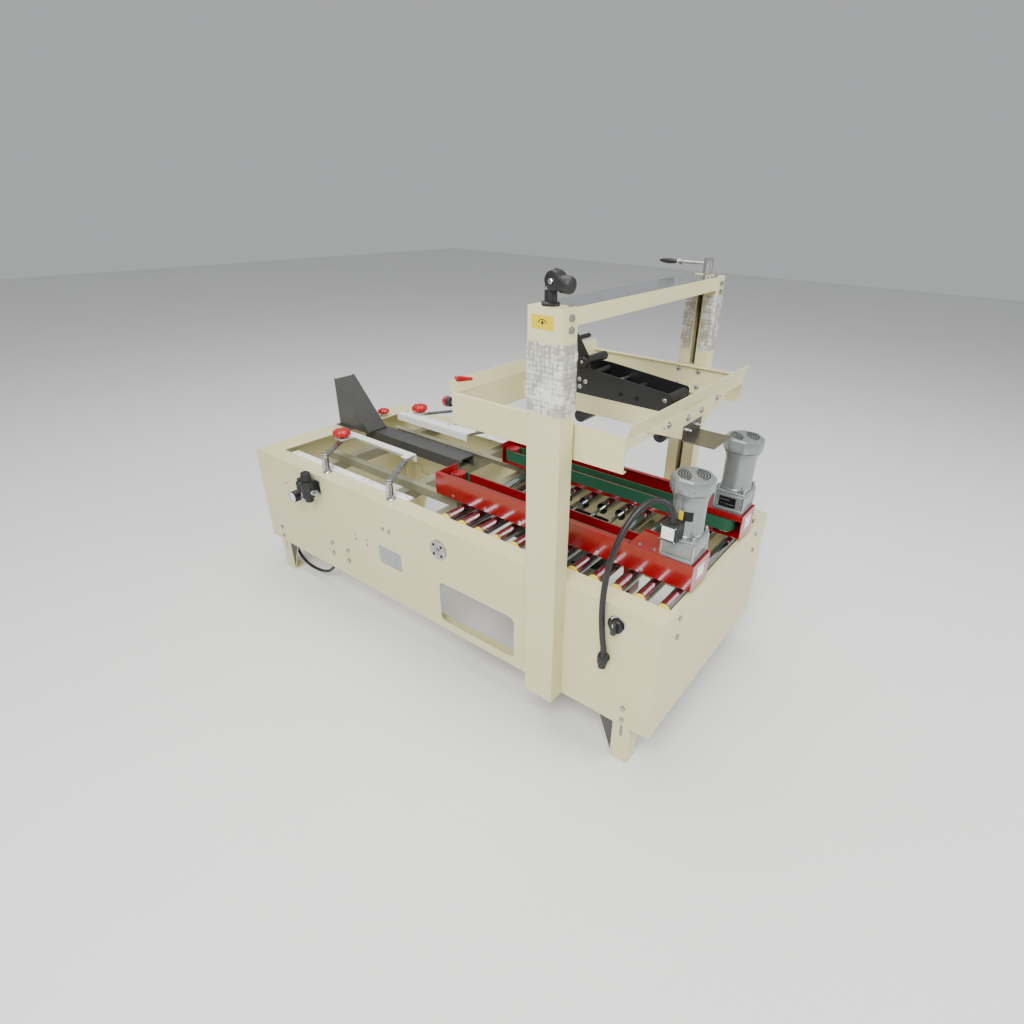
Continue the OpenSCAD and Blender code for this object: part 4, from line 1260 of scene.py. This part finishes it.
@dataclass
class HeadDetails:
    """Screws, springs, rollers and hand screws on the lifting head."""

    def build(self) -> None:
        """Make the small pieces that ride on the head."""
        self._side_screws()
        self._tape_unit()
        self._hand_screw()

    def _side_screws(self) -> None:
        """Add the bolts of the far channel, the outfeed bracket and the ski."""
        shape = Shaper("head_screws", "head", [ZINC, BLACK_OXIDE], "zinc_steel")
        for x in (517, 585):
            for z in (935, 885):
                shape.screw((x, 357.5, z), FRONT, 6, 5, 0, 1)
                shape.screw((x, -357.5, z), BACK, 6, 5, 0, 1)
        for y in (-41, 44):
            shape.screw((736.3, y, 921), ALONG, 6, 5, 0, 1)
        for y in (-150, 150):
            shape.screw((735, y, 930), ALONG, 6, 5, 0, 1)
        cover = Shaper("ski_bracket_face", "head", [CREAM_COAT], "cream_paint")
        cover.prism([(-60, 902), (60, 902), (60, 946), (-60, 946)], 734.8, 736.4, "x", 0)
        cover.done()
        for y in (-176, 176):
            shape.turned([(2.6, 0), (2.6, 0.5)], (735, y, 928), ALONG, 1, 16)
        for y in (-30, 30):
            shape.turned([(6.5, 0), (6.5, 5), (5.5, 6)], (735.2, y, 884), ALONG, 0, 6)
            shape.turned([(3.4, 5), (3.4, 11), (2.8, 12)], (735.2, y, 884), ALONG, 0, 16)
        shape.done()

    def _tape_unit(self) -> None:
        """Add the upper unit's screws, rollers, spring and spool arm."""
        y = -55.0
        shape = Shaper(
            "tape_unit_details", "head", [NICKEL, BLACK_OXIDE, BLACK_NYLON, CREAM_COAT, ZINC], "black_paint",
        )
        for x, z in ((404, 966), (424, 962), (406, 945), (672, 957), (540, 948), (590, 946)):
            shape.screw((x, y, z), FRONT, 4.2, 3.4, 0 if x < 500 or x > 660 else 1, 1)
        shape.turned(
            [(12.2, 0), (12.2, 1.5), (13, 2.2), (13, 99), (12.2, 99.8), (12.2, 101)], (678, -50.5, 959),
            BACK, 2, 40,
        )
        shape.turned([(14, 0), (15, 1), (15, 10), (13, 12)], (418, y, 1017), FRONT, 2, 40)
        shape.turned([(5, 11), (5, 15), (4, 16)], (418, y, 1017), FRONT, 0, 6)
        shape.turned([(8, 0), (8.6, 0.8), (8.6, 9), (7.4, 10)], (380, y, 1073), FRONT, 1, 6)
        for x in range(440, 614, 7):
            shape.turned([(3.6, 0), (4.4, 1.6), (4.4, 3.4), (3.6, 5)], (x, -34, 938), ALONG, 4, 14)
        shape.turned([(1.6, 0), (1.6, 196)], (432, -34, 938), ALONG, 4, 12)
        shape.slab((431, -50, 930), (435, -26, 946), 1, 0.6, 1)
        shape.slab((626, -50, 930), (630, -26, 946), 1, 0.6, 1)
        shape.turned([(7.4, 0), (7.4, 100)], (500, -50, 966), BACK, 0, 32)
        shape.turned([(9, 0), (9, 100)], (560, -50, 955), BACK, 2, 32)
        shape.slab((302, -47, 931), (330, 47, 958), 3, 2.0, 2)
        shape.turned([(5.0, 0), (5.0, 60)], (345, -30, 1000), BACK, 0, 24)
        shape.done()

    def _hand_screw(self) -> None:
        """Add the red hand screw with its black cone, and the red cap on the infeed lip."""
        shape = Shaper("head_hand_screw", "head", [RED_ABS, BLACK_NYLON, NICKEL], "red_plastic")
        x, y, z = 200.0, -357.0, 926.0
        shape.turned([(5, 0), (5, 6)], (x, y, z), (-1, 0, 0), 2, 20)
        shape.turned([(8, 5), (12, 7), (14, 16), (14, 19)], (x, y, z), (-1, 0, 0), 1, 32)
        shape.turned([(14, 18.5), (14.5, 20), (14.5, 27), (12.5, 30), (6, 31)], (x, y, z), (-1, 0, 0), 0, 32)
        turn = Matrix.Rotation(math.radians(-14), 3, "X") @ Matrix.Rotation(math.radians(16), 3, "Y")
        shape.slab((185, -338, 968), (197, -272, 986), 0, 5.0, 4, turn)
        shape.done()


@dataclass
class CrankGrip:
    """The crank's oval hand grip with a nickel ferrule."""

    def build(self) -> None:
        """Make the grip and hide its stand-in."""
        lo, hi = corners_of("crank_grip")
        mid = (lo + hi) / 2
        shape = Shaper("crank_hand_grip", "grip", [BLACK_NYLON, NICKEL], "black_plastic")
        length = hi.x - lo.x
        profile = [(2.0, 0.0)]
        steps = 16
        for k in range(1, steps + 1):
            t = k / steps
            profile.append((2.4 + 5.8 * math.sin(math.pi * min(1.0, t * 0.93)) ** 0.75, length * 0.92 * t))
        profile.append((3.8, length * 0.93))
        shape.turned(profile, (lo.x, mid.y, mid.z), ALONG, 0, 36)
        shape.turned(
            [(4.4, length * 0.9), (5.4, length * 0.92), (5.4, length * 0.985), (4.6, length)],
            (lo.x, mid.y, mid.z), ALONG, 1, 36,
        )
        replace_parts(shape.done(60), "crank_grip")


@dataclass
class DriveDetails:
    """Blank plates, screws and a fitting on the two belt drives."""

    def build(self) -> None:
        """Make the thin pieces of both drives."""
        for side, sign in (("near", -1), ("far", 1)):
            lo, hi = corners_of(f"drive_frame_{side}")
            shape = Shaper(
                f"drive_details_{side}", f"drive_{side}", [PLATE_WHITE, BLACK_OXIDE, ZINC, RED_GLOSS],
                "red_paint",
            )
            y_mid = (lo.y + hi.y) / 2
            shape.slab((hi.x, y_mid - 22, 556), (hi.x + 0.6, y_mid + 20, 592), 0, 0.2, 1)
            for dy in (-40, 40):
                shape.screw((hi.x, y_mid + dy, 590), ALONG, 3.6, 3, 2, 1)
            out = lo.y if sign < 0 else hi.y
            for x in (40, 180, 320, 460, 600, 740):
                shape.screw((x, out, 545), (0, sign, 0), 3.4, 2.6, 2, 1)
            for x in (716, 760):
                shape.screw((x, y_mid + 28 * sign, 604), UP, 4, 3.4, 2, 1)
            shape.turned(
                [(5, 0), (5, 14), (8, 14.5), (8, 20), (4, 20.5), (4, 30)], (lo.x, y_mid, 572), (-1, 0, 0), 2,
                6,
            )
            shape.done()


@dataclass
class Studio:
    """Floor, light and camera."""

    eye: Point = (1.3263, -1.4690, 1.4270)
    right: Point = (0.80203, 0.59685, 0.02258)
    forward: Point = (-0.51932, 0.71553, -0.46725)
    lens: float = 21.14
    shift_x: float = -0.0338

    def build(self) -> None:
        """Make the floor, the lights and the camera."""
        self._floor()
        self._lights()
        self._camera()

    def _floor(self) -> None:
        """Lay a large pale floor."""
        mesh = bpy.data.meshes.new("studio_floor")
        s = 12.0
        mesh.from_pydata([(-s, -s, 0), (s, -s, 0), (s, s, 0), (-s, s, 0)], [], [(0, 1, 2, 3)])
        floor = bpy.data.objects.new("studio_floor", mesh)
        bpy.context.scene.collection.objects.link(floor)
        floor_finish = Finish("matt_floor_pale", "#e9e9e7", "#e4e4e2", 0.8, patch_mm=900, relief_mm=0.0)
        mesh.materials.append(floor_finish.material())

    def _lights(self) -> None:
        """Hang three soft panels and an even pale sky."""
        world = bpy.data.worlds.new("studio_sky")
        world.use_nodes = True
        world.node_tree.nodes["Background"].inputs["Color"].default_value = linear("#f2f4f6")
        world.node_tree.nodes["Background"].inputs["Strength"].default_value = 0.5
        bpy.context.scene.world = world
        for name, at, size, power in (
            ("key_panel", (1.5, -3.0, 3.6), 2.2, 250.0),
            ("fill_panel", (4.0, 1.0, 2.6), 2.4, 110.0),
            ("top_panel", (-0.6, 0.2, 4.2), 3.0, 130.0),
        ):
            data = bpy.data.lights.new(name, "AREA")
            data.size = size
            data.energy = power
            lamp = bpy.data.objects.new(name, data)
            lamp.location = at
            lamp.rotation_mode = "QUATERNION"
            lamp.rotation_quaternion = (Vector((0, 0, 0.6)) - Vector(at)).to_track_quat("-Z", "Y")
            bpy.context.scene.collection.objects.link(lamp)

    def _camera(self) -> None:
        """Stand the camera where the operator's outfeed corner is nearest."""
        data = bpy.data.cameras.new("camera")
        data.lens = self.lens
        data.sensor_width = 36.0
        data.shift_x = self.shift_x
        cam = bpy.data.objects.new("camera", data)
        forward = Vector(self.forward).normalized()
        right = Vector(self.right)
        right = (right - forward * right.dot(forward)).normalized()
        up = right.cross(forward)
        rows = Matrix((right, up, -forward)).transposed().to_4x4()
        cam.matrix_world = Matrix.Translation(Vector(self.eye)) @ rows
        bpy.context.scene.collection.objects.link(cam)
        bpy.context.scene.camera = cam


def main() -> None:
    """Build the scene on the frame."""
    logging.basicConfig(level=logging.INFO, format="%(message)s")
    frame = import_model()
    Studio().build()
    dress_nodes(frame)
    Cables().build()
    for side in ("near", "far"):
        GearMotor(side).build()
        StarKnob(f"guide_knob_{side}", f"star_{side}", f"star_knob_{side}").build()
    StarKnob("infeed_knob", "machine", radius=26.0, height=20.0).build((-815.0, 205.0, 521.0))
    TerminalBox().build()
    Fittings().build()
    GuideStands().build()
    AirUnit().build()
    PanelDetails().build()
    ColumnWraps().build()
    HeadDetails().build()
    CrankGrip().build()
    DriveDetails().build()


if __name__ == "__main__":
    main()
